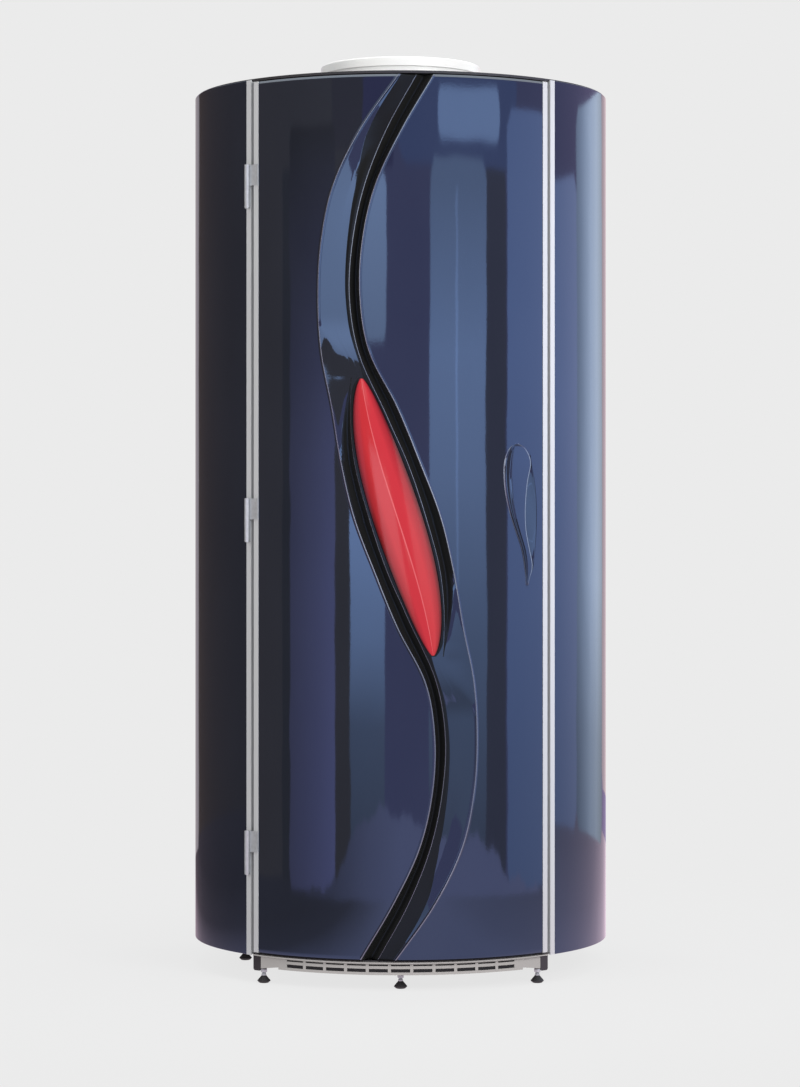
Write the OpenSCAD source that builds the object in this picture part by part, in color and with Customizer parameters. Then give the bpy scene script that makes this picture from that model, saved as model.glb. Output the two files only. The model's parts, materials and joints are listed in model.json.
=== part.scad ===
// Stand-up tanning cabin: a round booth with one curved, moulded front door.
// Units are millimetres. Z is up, the floor is z = 0, and the door faces -Y.
// Angles are measured from the front (-Y) and grow towards +X.

/* [Cabin] */
// Outside diameter of the cabin skins
cabin_d = 1040; // [1000:10:1120]
// Height that the skins take beyond each end of the lamps
lamp_room = 62; // [60:1:80]
// Height of the skins' lower edge above the floor
panel_lift = 66; // [60:1:90]
// Thickness of the skins and the door moulding
skin_t = 4; // [3:0.5:5]
// Depth of the wall between the skins' outside and the clear space inside
wall_depth = 145; // [142:1:150]
// Angle from the front to the joint between side and rear skins
rear_joint_a = 135; // [130:1:140]

/* [Door] */
// Half of the angle that the door spans
door_half_a = 42.9; // [41.5:0.1:43]
// Angle between the door's edge and the jamb
jamb_gap_a = 0.5; // [0.4:0.05:0.8]
// Angle between the door's edge and the post's face
post_gap_a = 1.1; // [1:0.05:1.6]
// Height of the door's lower edge above the skins' lower edge
door_raise = 8; // [6:1:12]
// Distance from the door's upper edge to the skins' upper edge
door_drop = 6; // [5:1:12]
// Width of the bright aluminium faces beside the door
face_w = 15.4; // [12:0.2:18]
// How far those faces stand proud of the skins
face_proud = 0.8; // [0.4:0.1:1.2]
// Wall of the aluminium profiles
profile_t = 2; // [1.6:0.1:2.4]

/* [Door relief] */
// Sideways shift of the relief from the door's centre line
relief_shift = -8; // [-20:1:20]
// Greatest depth of the two swept channels
channel_depth = 22; // [12:1:24]
// Depth to which the wing beside a channel sinks
wing_depth = 10; // [0:1:12]
// Height of the bead along the relief's edges
bead_h = 2.5; // [0:0.5:4]
// Depth of the ledge around the lens
ledge_depth = 3; // [1:0.5:5]
// Depth of the pocket that the lens sits in, below the ledge
lens_seat = 6; // [4:0.5:8]

/* [Lens] */
// Half of the lens's height
lens_half_h = 331; // [280:1:360]
// Half of the lens's width at its middle
lens_half_w = 61; // [50:1:64]
// Height of the lens's crown over its edge
lens_crown = 8; // [3:0.5:12]
// Gap around and under the lens
lens_gap = 0.4; // [0.3:0.1:0.8]

/* [Handle] */
// Height of the moulded grip
grip_h = 335; // [280:5:380]
// Height of the grip's middle above the door's middle
grip_z = 6; // [-60:1:60]
// How far the grip's lip stands out of the door
grip_rise = 10; // [5:1:14]
// Depth of the finger pocket beside the grip
pocket_depth = 17; // [12:1:20]

/* [Hinges] */
// Height of one lift-off hinge
hinge_h = 103; // [80:1:130]
// Outside diameter of the hinge knuckles
knuckle_d = 12; // [11:0.5:14]
// Diameter of the hinge pin
pin_d = 6; // [5:0.5:7]
// Radial clearance of the pin in the door's knuckle
pin_clear = 0.06; // [0.04:0.01:0.1]
// Thickness of the hinge leaves
leaf_t = 2.5; // [2:0.25:3]
// Angle from the front to the hinge axis
hinge_a = 44.7; // [44.5:0.1:45]
// Height of the top hinge above the door's middle
hinge_top = 800; // [600:5:880]
// Height of the middle hinge above the door's middle
hinge_mid = -6; // [-100:1:100]
// Height of the bottom hinge above the door's middle
hinge_low = -809; // [-880:1:-600]

/* [Lamps] */
// Length of a lamp over its caps
lamp_len = 1990; // [1960:2:2000]
// Diameter of a lamp
lamp_d = 38; // [26:1:38]
// Angle between neighbouring lamps
lamp_pitch = 7.5; // [7:0.5:12]
// Distance of the lamps' axes behind the edge of the clear space
lamp_inset = 25; // [24:1:28]
// Length of a lamp's end cap
cap_len = 14; // [10:1:20]
// Height of a lampholder
holder_h = 22; // [20:1:26]
// Wall of a lamp's glass tube
glass_t = 1; // [0.7:0.1:1.5]

/* [Base] */
// Thickness of the steel base plate
base_t = 5; // [4:0.5:6]
// Diameter of a foot's rubber pad
foot_pad_d = 32; // [28:1:40]
// Height of a foot's rubber pad
foot_pad_h = 18; // [14:1:20]
// Diameter of a foot's threaded stud
stud_d = 10; // [8:1:12]
// Radial clearance of a stud in its boss
stud_clear = 0.05; // [0.03:0.01:0.1]
// Height of the slotted plinth below the sill
plinth_h = 28; // [24:1:30]
// Number of slots along the plinth
plinth_slots = 11; // [5:2:15]
// Angle between neighbouring plinth slots
slot_pitch = 5.93; // [4:0.01:5.93]
// Angle that one plinth slot spans
slot_a = 5.1; // [3:0.1:5.2]

/* [Roof and fan] */
// Thickness of the roof sheet
roof_t = 3; // [2:0.5:4]
// Radius of the extraction collar's lip
collar_r = 202; // [196:1:210]
// Height of the collar above the roof sheet
collar_h = 84; // [76:1:100]
// Height of the collar's lip
collar_lip = 22; // [14:1:30]
// Wall of the collar
collar_t = 3; // [2:0.5:4]
// Radius of the fan over its blades
fan_r = 182; // [170:1:184]
// Number of fan blades
fan_blades = 7; // [5:1:9]
// Pitch of the fan blades
blade_pitch = 28; // [20:1:36]

/* [Controls] */
// Height of the start button above the floor
button_z = 1240; // [1000:10:1400]
// Diameter of the start button
button_d = 24; // [18:1:28]
// Travel of the start button
button_travel = 4; // [2:0.5:5]

/* [Hidden] */
$fn = 96;

// Colours of the finishes
navy = [0.10, 0.12, 0.24];
bright_alu = [0.80, 0.81, 0.83];
zinc = [0.62, 0.65, 0.69];
white = [0.94, 0.94, 0.92];
black = [0.09, 0.09, 0.10];
lens_red = [0.80, 0.16, 0.18];
warm_grey = [0.76, 0.74, 0.72];
glass_white = [0.86, 0.88, 0.95];

// Clearances: between pieces that seat on each other, and around moving ones
seat = 0.3;
touch = 0.1;

// Heights
skin_z0 = panel_lift;
skin_z1 = panel_lift + lamp_len + 2 * lamp_room;
door_z0 = skin_z0 + door_raise;
door_z1 = skin_z1 - door_drop;
door_mid = (door_z0 + door_z1) / 2;
door_half = (door_z1 - door_z0) / 2;
base_z0 = panel_lift;
base_z1 = base_z0 + base_t;
sill_t = 2.5;
sill_z1 = base_z0 + 2;
sill_z0 = sill_z1 - sill_t;
roof_z0 = skin_z1 - 3;
roof_z1 = roof_z0 + roof_t;
collar_z1 = roof_z1 + collar_h;
lamp_z0 = door_mid - lamp_len / 2;
lamp_z1 = door_mid + lamp_len / 2;

// Radii
R = cabin_d / 2;
skin_in = R - skin_t;
inner_r = R - wall_depth;
lamp_r = inner_r + lamp_inset;
reflector_r = lamp_r + lamp_d / 2 + 5;
base_r = R - 15;
reflector_t = 1;
rail_half_w = 12;
hoop_d = 8;
hoop_r = inner_r - hoop_d / 2 - seat;
floor_r = inner_r - 11;

// Angles
jamb_a = door_half_a + jamb_gap_a;
post_a = door_half_a + post_gap_a;
face_a = face_w / R * 180 / PI;
door_skin_a = door_half_a - face_a - 0.03;
side_skin_a0 = post_a + face_a + 0.05;
side_skin_a1 = rear_joint_a - face_a / 2 - 0.05;

// Turns its children so that X points outwards at angle a and Y along the circle
module facing(a) {
  rotate([0, 0, a - 90]) children();
}

// A piece of a ring between two radii, two heights and two angles
module sector(r0, r1, z0, z1, a0, a1) {
  facing(a0) rotate_extrude(angle = a1 - a0) translate([r0, z0]) square([r1 - r0, z1 - z0]);
}

// A plain ring
module ring(r0, r1, z0, z1) {
  rotate_extrude() translate([r0, z0]) square([r1 - r0, z1 - z0]);
}

// A box given by its lowest and highest corners
module block(low, high) {
  translate(low) cube(high - low);
}

// Base frame: round steel plate on two pairs of welded tubes, with a boss for each foot
foot_r = R - 18;
front_foot_a = 41.1;
foot_spots = [
  [-foot_r * sin(front_foot_a), -foot_r * cos(front_foot_a)],
  [0, -0.9 * R],
  [foot_r * sin(front_foot_a), -foot_r * cos(front_foot_a)],
  [-0.757 * R, 0],
  [-0.58 * R, 0.64 * R],
  [0.58 * R, 0.64 * R]
];
boss_d = stud_d + 4;
boss_z0 = 34;
tube_w = 40;
tube_h = 24;
tab_w = 16;
weld = 1;

module base_frame() color(black) {
  difference() {
    union() {
      translate([0, 0, base_z0]) cylinder(r = base_r, h = base_t);
      for (y = [-250, 210])
        block([-300, y - tube_w / 2, base_z0 - tube_h], [300, y + tube_w / 2, base_z0 + weld]);
      for (x = [-200, 200])
        block([x - tube_w / 2, -250, base_z0 - tube_h], [x + tube_w / 2, 210, base_z0 + weld]);
      for (p = foot_spots) translate([p[0], p[1], boss_z0]) cylinder(d = boss_d, h = base_z1 - boss_z0);
      for (i = [1, 3, 4, 5])
        translate([foot_spots[i][0], foot_spots[i][1], base_z0 - 4]) cylinder(d = 2 * boss_d, h = 4 + weld);
      for (a = [-front_foot_a, front_foot_a])
        facing(a) block([foot_r - 62, -tab_w / 2, base_z0 - 6], [foot_r, tab_w / 2, base_z0 + weld]);
    }
    for (p = foot_spots)
      translate([p[0], p[1], boss_z0 - 1]) cylinder(d = stud_d + 2 * stud_clear, h = base_z0 - boss_z0 - 0.5);
    ring(base_r, R, sill_z0 - seat, base_z1 + 1);
  }
}

// Levelling foot: conical rubber pad, stud and locking nut
nut_af = 15;
nut_h = boss_z0 - seat - 25.5;

module levelling_foot(i) color(black) translate([foot_spots[i][0], foot_spots[i][1], 0]) {
  rotate_extrude() polygon([
    [0, 0], [foot_pad_d * 0.34, 0], [foot_pad_d / 2, 4.5], [foot_pad_d / 2 - 0.6, 6.5],
    [stud_d * 0.65, foot_pad_h - 1], [stud_d * 0.55, foot_pad_h], [0, foot_pad_h]
  ]);
  translate([0, 0, foot_pad_h]) cylinder(d = stud_d, h = base_z0 - 2 - foot_pad_h);
  translate([0, 0, boss_z0 - seat - nut_h]) cylinder(d = nut_af / cos(30), h = nut_h, $fn = 6);
}

// Floor tray: white moulded tray that the user stands on, with raised ribs
floor_h = 24;

module floor_tray() color(white) rotate_extrude() difference() {
  union() {
    translate([0, base_z1]) square([floor_r - 6, floor_h]);
    translate([floor_r - 6, base_z1]) square([6, floor_h - 6]);
    translate([floor_r - 6, base_z1 + floor_h - 6]) circle(r = 6, $fn = 48);
    for (r = [60 : 40 : floor_r - 40])
      translate([r, base_z1 + floor_h - 1]) square([12, 2.5]);
  }
  translate([-10, 0]) square([10, 2 * base_z1 + floor_h]);
  translate([-1, base_z1 - 1]) square([floor_r - 9, floor_h - 4]);
}

// Plinth: one folded sheet with a sill lip, a slotted band and deeper end gussets
plinth_r = R - 8;
plinth_t = 2;
plinth_end_a = 41.2;
gusset_a = 35;
plinth_z0 = sill_z0 - plinth_h;
gusset_z0 = boss_z0 + 1;

module plinth_grille() color(warm_grey) {
  sector(base_r + seat, R - 1, sill_z0, sill_z1, -jamb_a - 0.1, jamb_a + 0.1);
  difference() {
    sector(plinth_r - plinth_t, plinth_r, plinth_z0, sill_z0 + 0.5, -gusset_a, gusset_a);
    for (i = [0 : plinth_slots - 1]) {
      a = (i - (plinth_slots - 1) / 2) * slot_pitch;
      sector(plinth_r - 6, plinth_r + 6, sill_z0 - 6.5, sill_z0 - 3, a - slot_a / 2, a + slot_a / 2);
      sector(plinth_r - 6, plinth_r + 6, plinth_z0 + 6.5, plinth_z0 + 14.5, a - slot_a / 2, a + slot_a / 2);
    }
  }
  sector(plinth_r - 12, plinth_r, plinth_z0, plinth_z0 + 1.5, -gusset_a, gusset_a);
  for (side = [0, 1]) mirror([side, 0, 0]) gusset();
}

// One end gusset: a flat plate whose lower edge drops towards the end foot
module gusset() {
  r = plinth_r - plinth_t;
  inner = r * [sin(gusset_a), -cos(gusset_a)];
  outer = r * [sin(plinth_end_a), -cos(plinth_end_a)];
  run = norm(outer - inner);
  translate([inner[0], inner[1], 0])
    rotate([90, 0, atan2(outer[1] - inner[1], outer[0] - inner[0])])
      linear_extrude(plinth_t) polygon([
        [-0.5, plinth_z0 + 5], [run, gusset_z0], [run, sill_z0 + 0.5], [-0.5, sill_z0 + 0.5]
      ]);
}

// Filter: strip of black felt behind the slots, on the plinth's lower return
filter_t = 8;

module plinth_filter() color(black)
  sector(plinth_r - plinth_t - seat - filter_t, plinth_r - plinth_t - seat,
    plinth_z0 + 1.5 + touch, sill_z0 - seat, -gusset_a + 0.6, gusset_a - 0.6);

// End blocks: black moulded blocks that close the plinth under the posts
module plinth_end_blocks() color(black) {
  w = 24;
  for (side = [0, 1]) mirror([side, 0, 0]) difference() {
    facing(plinth_end_a + 0.1) translate([plinth_r - 14, 0, 0]) rotate([90, 0, 90])
    linear_extrude(14) union() {
      translate([0, boss_z0]) square([w, sill_z0 - seat - boss_z0]);
      translate([5, boss_z0 - 5]) square([w - 10, 6]);
      translate([5, boss_z0]) circle(r = 5, $fn = 32);
      translate([w - 5, boss_z0]) circle(r = 5, $fn = 32);
    }
    facing(front_foot_a) translate([foot_r, 0, 0]) cylinder(d = nut_af / cos(30) + 1, h = base_z0);
  }
}

// Front post: aluminium profile beside the door, drawn for the right side.
// Its face is the bright strip, with a recessed groove next to the door.
groove_r = R - 15;
inner_flange_w = 16;
stop_t = 2.5;
lip_cut = 0.5;
web_z0 = base_z1;
web_z1 = roof_z0;

module jamb_post(has_stop) color(bright_alu) {
  facing(post_a) {
    block([R - 2.4, 0, skin_z0], [R + face_proud, face_w, skin_z1]);
    block([groove_r - profile_t / 2, 0, web_z0], [R - 2, profile_t, web_z1]);
  }
  sector(groove_r - profile_t, groove_r, web_z0 + lip_cut, web_z1 - lip_cut, jamb_a, post_a + 0.3);
  lap_lip(post_a, post_a + face_a + 1.6, web_z0, web_z1);
  facing(jamb_a) {
    block([has_stop ? stop_r : inner_r, 0, web_z0], [groove_r - profile_t / 2, profile_t, web_z1]);
    block([inner_r, 0, web_z0], [inner_r + profile_t, inner_flange_w + 4, web_z1]);
    for (x = reflector_lips) block([x, 0, web_z0], [x + profile_t, 8, web_z1]);
  }
  if (has_stop) facing(door_half_a) block([stop_r, -8, web_z0], [stop_r + stop_t, 6, web_z1]);
}

// The curved lip behind a skin's or the door moulding's edge, cut back at both ends
lip_r1 = skin_in - seat;
lip_r0 = lip_r1 - 2.2;

module lap_lip(a0, a1, z0, z1) sector(lip_r0, lip_r1, z0 + lip_cut, z1 - lip_cut, a0, a1);

// The two lips that hold a reflector's edge start at these radii
reflector_lips = [reflector_r - 0.4 - profile_t, reflector_r + reflector_t + 0.4];

// The stop flange stands behind the door's free edge and carries the magnets
stop_r = inner_r - 7;

module post_right() jamb_post(true);

module post_left() mirror([1, 0, 0]) jamb_post(false);

// Rear posts: T-shaped profiles that cover the joints of side and rear skins
module rear_posts() color(bright_alu) for (side = [0, 1]) mirror([side, 0, 0]) {
  facing(rear_joint_a) {
    block([R - 2.4, -face_w / 2, skin_z0], [R + face_proud, face_w / 2, skin_z1]);
    block([inner_r, -profile_t / 2, web_z0], [R - 2, profile_t / 2, web_z1]);
    block([inner_r, -inner_flange_w, web_z0], [inner_r + profile_t, inner_flange_w, web_z1]);
    for (x = reflector_lips) block([x, -8, web_z0], [x + profile_t, 8, web_z1]);
  }
  lap_lip(rear_joint_a - face_a / 2 - 1.6, rear_joint_a + face_a / 2 + 1.6, web_z0, web_z1);
}

// Outer skins: curved sheets with a rolled lower and upper edge
module skin(a0, a1) color(navy) {
  facing(a0) rotate_extrude(angle = a1 - a0) polygon([
    [skin_in, skin_z0], [R - 1.5, skin_z0], [R, skin_z0 + 2],
    [R, skin_z1 - 2], [R - 1.5, skin_z1], [skin_in, skin_z1]
  ]);
}

module side_skin_right() skin(side_skin_a0, side_skin_a1);

module side_skin_left() mirror([1, 0, 0]) skin(side_skin_a0, side_skin_a1);

module rear_skin() skin(rear_joint_a + face_a / 2 + 0.05, 360 - rear_joint_a - face_a / 2 - 0.05);

// Roof: black sheet with an upturned rim and holes for the fan and the cable
fan_hole_r = fan_r + 9;
gland_y = 330;
gland_bore = 18;

rim_r = skin_in - 0.5;
rim_w = 2;
rim_h = 3;

module roof_tray() color(black) {
  difference() {
    ring(fan_hole_r, rim_r - rim_w - seat, roof_z0, roof_z1);
    translate([0, gland_y, roof_z0 - 1]) cylinder(d = gland_bore + 1, h = roof_t + 2);
  }
  ring(rim_r - rim_w, rim_r, roof_z0, roof_z1 + rim_h);
}

// Extraction collar: white spun ring whose lip takes the exhaust duct
collar_neck_r = collar_r - 4;

module extraction_collar() color(white) rotate_extrude() polygon([
  [collar_neck_r - collar_t, roof_z1], [collar_neck_r + 14, roof_z1],
  [collar_neck_r + 14, roof_z1 + 2.5], [collar_neck_r, roof_z1 + 2.5],
  [collar_neck_r, collar_z1 - collar_lip - 2], [collar_r, collar_z1 - collar_lip],
  [collar_r, collar_z1 - 3], [collar_r - 3, collar_z1],
  [collar_neck_r - collar_t, collar_z1]
]);

// Ceiling: white pan under the roof, with an intake grille of rings and spokes
ceiling_z = lamp_z1 - 20;
intake_r = 172;

module ceiling_panel() color(white) {
  rotate_extrude() polygon([
    [intake_r, ceiling_z], [floor_r - 5, ceiling_z], [floor_r, ceiling_z + 5],
    [floor_r, roof_z0], [floor_r - 3, roof_z0], [floor_r - 3, ceiling_z + 5],
    [floor_r - 6, ceiling_z + 3], [intake_r, ceiling_z + 3]
  ]);
  for (r = [20 : 22 : intake_r - 10]) ring(r, r + 3, ceiling_z, ceiling_z + 3);
  for (i = [0 : 7]) rotate([0, 0, 45 * i]) block([18, -2, ceiling_z], [intake_r + 1, 2, ceiling_z + 3]);
}

// Fan shroud: short duct below the roof, hung from it by a flange
shroud_z0 = ceiling_z + 12;
shroud_r = fan_r + 6;

module fan_shroud() color(black) rotate_extrude() polygon([
  [shroud_r, shroud_z0], [shroud_r + 8, shroud_z0], [shroud_r + 8, shroud_z0 + 2],
  [shroud_r + 2, shroud_z0 + 4], [shroud_r + 2, roof_z0 - 2.5], [shroud_r + 24, roof_z0 - 2.5],
  [shroud_r + 24, roof_z0], [shroud_r, roof_z0]
]);

// Motor mount: flat ring on the roof with four arms and a hub plate
motor_d = 116;
motor_h = 34;
mount_z0 = roof_z1;
mount_t = 4;
shaft_d = 8;
mount_r = collar_neck_r - collar_t - seat;

module fan_motor_mount() color(zinc) difference() {
  union() {
    ring(fan_hole_r + 0.5, mount_r, mount_z0, mount_z0 + mount_t);
    translate([0, 0, mount_z0]) cylinder(d = motor_d + 14, h = mount_t);
    for (i = [0 : 3]) rotate([0, 0, 45 + 90 * i])
      block([motor_d / 2, -8, mount_z0], [fan_hole_r + 1, 8, mount_z0 + mount_t]);
  }
  translate([0, 0, mount_z0 - 1]) cylinder(d = shaft_d + 12, h = mount_t + 2);
}

// Fan motor: finned can on the mount, with its shaft pointing down to the hub
hub_z0 = roof_z0 - 40;
hub_h = 30;

module fan_motor() color(zinc) {
  translate([0, 0, mount_z0 + mount_t]) {
    rotate_extrude() polygon(concat(
      [[0, 0], [motor_d / 2, 0]],
      [for (k = [0 : 3], s = [[0, 1], [-3, 2.5], [-3, 5], [0, 6.5]])
        [motor_d / 2 + s[0], 2 + 7 * k + s[1] - 1]],
      [[motor_d / 2 - 6, motor_h], [0, motor_h]]
    ));
  }
  translate([0, 0, hub_z0 + 4]) cylinder(d = shaft_d, h = mount_z0 + mount_t - hub_z0 - 4);
}

// Exhaust guard: wire rings and spokes fixed inside the collar
guard_z = mount_z0 + mount_t + motor_h + 6;
guard_wire = 4;

module exhaust_guard() color(zinc) {
  for (r = [30 : 30 : 180]) translate([0, 0, guard_z]) rotate_extrude()
    translate([r, 0]) circle(d = guard_wire, $fn = 24);
  for (i = [0 : 3]) rotate([0, 0, 22.5 + 45 * i])
    translate([-(mount_r - seat), 0, guard_z + guard_wire * 0.7]) rotate([0, 90, 0])
      cylinder(d = guard_wire, h = 2 * (mount_r - seat), $fn = 24);
}

// Cable gland: inlet for the supply cable at the rear of the roof
module cable_gland() color(black) translate([0, gland_y, roof_z1]) difference() {
  union() {
    cylinder(d = 42, h = 8, $fn = 6);
    translate([0, 0, 8]) cylinder(d = 34, h = 14);
    translate([0, 0, 22]) cylinder(d = 30, h = 6, $fn = 6);
  }
  translate([0, 0, -1]) cylinder(d = gland_bore, h = 40);
}

// Reflectors: polished sheets behind the lamps, held in the posts' slots
module reflector(a0, a1) color(bright_alu)
  sector(reflector_r, reflector_r + reflector_t, base_z1 + 24, roof_z0 - 24, a0, a1);

web_a = 0.6;

// Angle that keeps a rail's inner corner clear of a web whose face lies w from its middle
function web_edge(w) = (w + seat) / (lamp_r - rail_half_w) * 180 / PI;

module reflector_right() reflector(jamb_a + web_a, rear_joint_a - web_a);

module reflector_left() mirror([1, 0, 0]) reflector(jamb_a + web_a, rear_joint_a - web_a);

module reflector_rear() reflector(rear_joint_a + web_a, 360 - rear_joint_a - web_a);

// Lamp places: as many as the span holds, centred in it
function lamp_count(a0, a1, edge) = floor((a1 - a0 - 2 * edge) / lamp_pitch + 0.001) + 1;

function lamp_angles(a0, a1, edge) = let (n = lamp_count(a0, a1, edge))
  [for (i = [0 : n - 1]) (a0 + a1) / 2 + (i - (n - 1) / 2) * lamp_pitch];

door_lamps = lamp_angles(-door_half_a, door_half_a, 5);
side_lamps = lamp_angles(jamb_a, rear_joint_a, 4);
rear_lamps = lamp_angles(rear_joint_a, 360 - rear_joint_a, 4);

// Glass tubes between the caps
module lamps(angles) color(glass_white) for (a = angles) facing(a)
  translate([lamp_r, 0, lamp_z0 + cap_len]) difference() {
    cylinder(d = lamp_d, h = lamp_len - 2 * cap_len);
    translate([0, 0, -1]) cylinder(d = lamp_d - 2 * glass_t, h = lamp_len);
  }

// Metal end caps with two contact pins each
pin_gap = 12.7;
pin_len = 7;

module lamp_caps(angles) color(bright_alu) for (a = angles) facing(a) {
  translate([lamp_r, 0, door_mid]) for (end = [0, 1]) mirror([0, 0, end])
    translate([0, 0, -lamp_len / 2]) {
      cylinder(d = lamp_d - 0.6, h = cap_len);
      for (y = [-pin_gap / 2, pin_gap / 2])
        translate([0, y, -pin_len]) cylinder(d = 2.4, h = pin_len + 1, $fn = 16);
    }
}

// Lampholders: curved rails that carry one slotted holder per lamp
rail_t = 3;
holder_gap = 0.3;

module lampholders(angles, a0, a1) color(white) for (end = [0, 1])
  translate([0, 0, door_mid]) mirror([0, 0, end]) {
    z1 = -lamp_len / 2 - holder_gap;
    sector(lamp_r - rail_half_w, lamp_r + rail_half_w, z1 - holder_h - rail_t, z1 - holder_h, a0, a1);
    for (a = angles) facing(a) difference() {
      block([lamp_r - 9, -14, z1 - holder_h - 1], [lamp_r + 9, 14, z1]);
      block([lamp_r - 2.2, -9, z1 - pin_len - 2], [lamp_r + 2.2, 9, z1 + 1]);
    }
  }

module lamps_left() mirror([1, 0, 0]) lamps(side_lamps);

module lamps_right() lamps(side_lamps);

module lamps_rear() lamps(rear_lamps);

module lamp_caps_cabin() {
  lamp_caps(side_lamps);
  mirror([1, 0, 0]) lamp_caps(side_lamps);
  lamp_caps(rear_lamps);
}

module lampholders_cabin() {
  front = jamb_a + web_edge(profile_t);
  rear = web_edge(profile_t / 2);
  lampholders(side_lamps, front, rear_joint_a - rear);
  mirror([1, 0, 0]) lampholders(side_lamps, front, rear_joint_a - rear);
  lampholders(rear_lamps, rear_joint_a + rear, 360 - rear_joint_a - rear);
}

// Guard hoops: bent rods that keep the user off the lamps, screwed to the posts
hoop_levels = [-780, -260, 260, 780];
hoop_end_a = 1.7;

module hoop(a0, a1, dz) translate([0, 0, door_mid + dz]) facing(a0)
  rotate_extrude(angle = a1 - a0) translate([hoop_r, 0]) circle(d = hoop_d, $fn = 32);

module guard_hoops_cabin() color(bright_alu) for (dz = hoop_levels) {
  hoop(jamb_a + 1.2, rear_joint_a - 0.1, dz);
  mirror([1, 0, 0]) hoop(jamb_a + 1.2, rear_joint_a - 0.1, dz);
  hoop(rear_joint_a + 0.1, 360 - rear_joint_a - 0.1, dz);
}

// Ballast trays: folded steel uprights behind the side reflectors
tray_x = reflector_r + 12;
tray_half_w = 104;

module ballast_trays() color(zinc) for (side = [0, 1]) mirror([side, 0, 0]) facing(90) {
  block([tray_x - 2, -tray_half_w, base_z1], [tray_x, tray_half_w, roof_z0]);
  for (y = [-tray_half_w, tray_half_w - 2])
    block([tray_x - 2, y, base_z1], [tray_x + 12, y + 2, roof_z0]);
}

// Ballasts: wound cores with end coils, in two columns on each tray
ballast_rows = 7;
ballast_h = 150;

module ballasts() color(black) for (side = [0, 1]) mirror([side, 0, 0]) facing(90)
  for (row = [0 : ballast_rows - 1], y = [-50, 50])
    translate([tray_x, y, door_mid + (row - (ballast_rows - 1) / 2) * 250]) {
      block([0, -34, -ballast_h / 2], [40, 34, ballast_h / 2]);
      block([6, -26, -ballast_h / 2 - 14], [34, 26, ballast_h / 2 + 14]);
      block([0, -42, -ballast_h / 2 + 10], [2, 42, ballast_h / 2 - 10]);
    }

// Control pod: small housing on the right post's flange, with the start button in its face
pod_y = 36;
pod_w = 62;
pod_h = 96;
pod_d = 26;
pod_x1 = inner_r - seat;
pod_x0 = pod_x1 - pod_d;
button_clear = 0.5;

module rounded_plate(w, h, r) {
  square([w - 2 * r, h], center = true);
  square([w, h - 2 * r], center = true);
  for (x = [-1, 1], y = [-1, 1])
    translate([x * (w / 2 - r), y * (h / 2 - r)]) circle(r = r, $fn = 32);
}

module control_pod() color(white) facing(jamb_a) translate([pod_x1, pod_y, button_z]) rotate([0, -90, 0])
  difference() {
    linear_extrude(pod_d) rounded_plate(pod_h, pod_w, 12);
    translate([0, 0, pod_d - 14]) cylinder(d = button_d + 2 * button_clear, h = 20);
  }

// Start button: sprung push button that travels into the pod
module start_button() color([0.16, 0.55, 0.25]) facing(jamb_a) translate([pod_x0 + 14, pod_y, button_z])
  rotate([0, -90, 0]) translate([0, 0, button_travel + 0.5]) rotate_extrude() polygon([
    [0, 0], [button_d / 2, 0], [button_d / 2, 14 - button_travel + 3],
    [button_d / 2 - 2, 14 - button_travel + 5],
    [0, 14 - button_travel + 5]
  ]);

// Hinges: lift-off pairs. The post carries the lower knuckle and the pin.
hinge_r = R + 7.8;
hinge_levels = [hinge_top, hinge_mid, hinge_low];
leaf_x = R + face_proud + touch;
leaf_cut = 0.4;

// The hinge axis in the frame of a face that looks outwards at angle a
function hinge_in(a) = hinge_r * [cos(hinge_a - a), sin(hinge_a - a)];

module knuckle(z0, z1, bore) facing(hinge_a) translate([hinge_r, 0, z0]) difference() {
  cylinder(d = knuckle_d, h = z1 - z0);
  translate([0, 0, -1]) cylinder(d = bore, h = z1 - z0 + 2);
}

module leaf(a, y0, y1, z0, z1) difference() {
  facing(a) block([leaf_x, y0, z0 + leaf_cut], [leaf_x + leaf_t, y1, z1 - leaf_cut]);
  facing(hinge_a) translate([hinge_r, 0, z0 - 1]) cylinder(d = knuckle_d - 1, h = z1 - z0 + 2);
}

module hinge_leaves_post() color(zinc) mirror([1, 0, 0]) for (dz = hinge_levels) {
  z0 = door_mid + dz - hinge_h / 2;
  z1 = door_mid + dz - seat / 2;
  knuckle(z0, z1, pin_d + 0.02);
  leaf(post_a, 0.5, face_w - 0.4, z0, z1);
}

module hinge_pins() color(bright_alu) mirror([1, 0, 0]) for (dz = hinge_levels)
  facing(hinge_a) translate([hinge_r, 0, door_mid + dz - hinge_h / 2 - 3]) {
    cylinder(d = pin_d, h = hinge_h);
    cylinder(d = knuckle_d - 1, h = 3);
  }

module hinge_leaves_door() color(zinc) mirror([1, 0, 0]) for (dz = hinge_levels) {
  z0 = door_mid + dz + seat / 2;
  z1 = door_mid + dz + hinge_h / 2;
  knuckle(z0, z1, pin_d + 2 * pin_clear);
  leaf(door_half_a, -face_w + 1, hinge_in(door_half_a)[1], z0, z1);
}

// Magnets on the right post's stop, and the steel plates that they hold
catch_levels = [-650, 0, 650];
strike_t = 0.8;
magnet_x = stop_r + stop_t;

module door_magnets() color(black) facing(door_half_a) for (dz = catch_levels)
  block([magnet_x, -7.5, door_mid + dz - 30], [inner_r - strike_t - 0.4, 0, door_mid + dz + 30]);

module strike_plates() color(zinc) facing(door_half_a) for (dz = catch_levels)
  block([inner_r - strike_t, -15, door_mid + dz - 32], [inner_r, -1, door_mid + dz + 32]);

// Jamb seals: rubber strips on both jambs that face the door's sides
seal_t = 3;

module jamb_seals() color(black) for (side = [0, 1]) mirror([side, 0, 0]) facing(jamb_a)
  block([R - 50, -seal_t, door_z0], [R - 38, 0, door_z1]);

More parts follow.
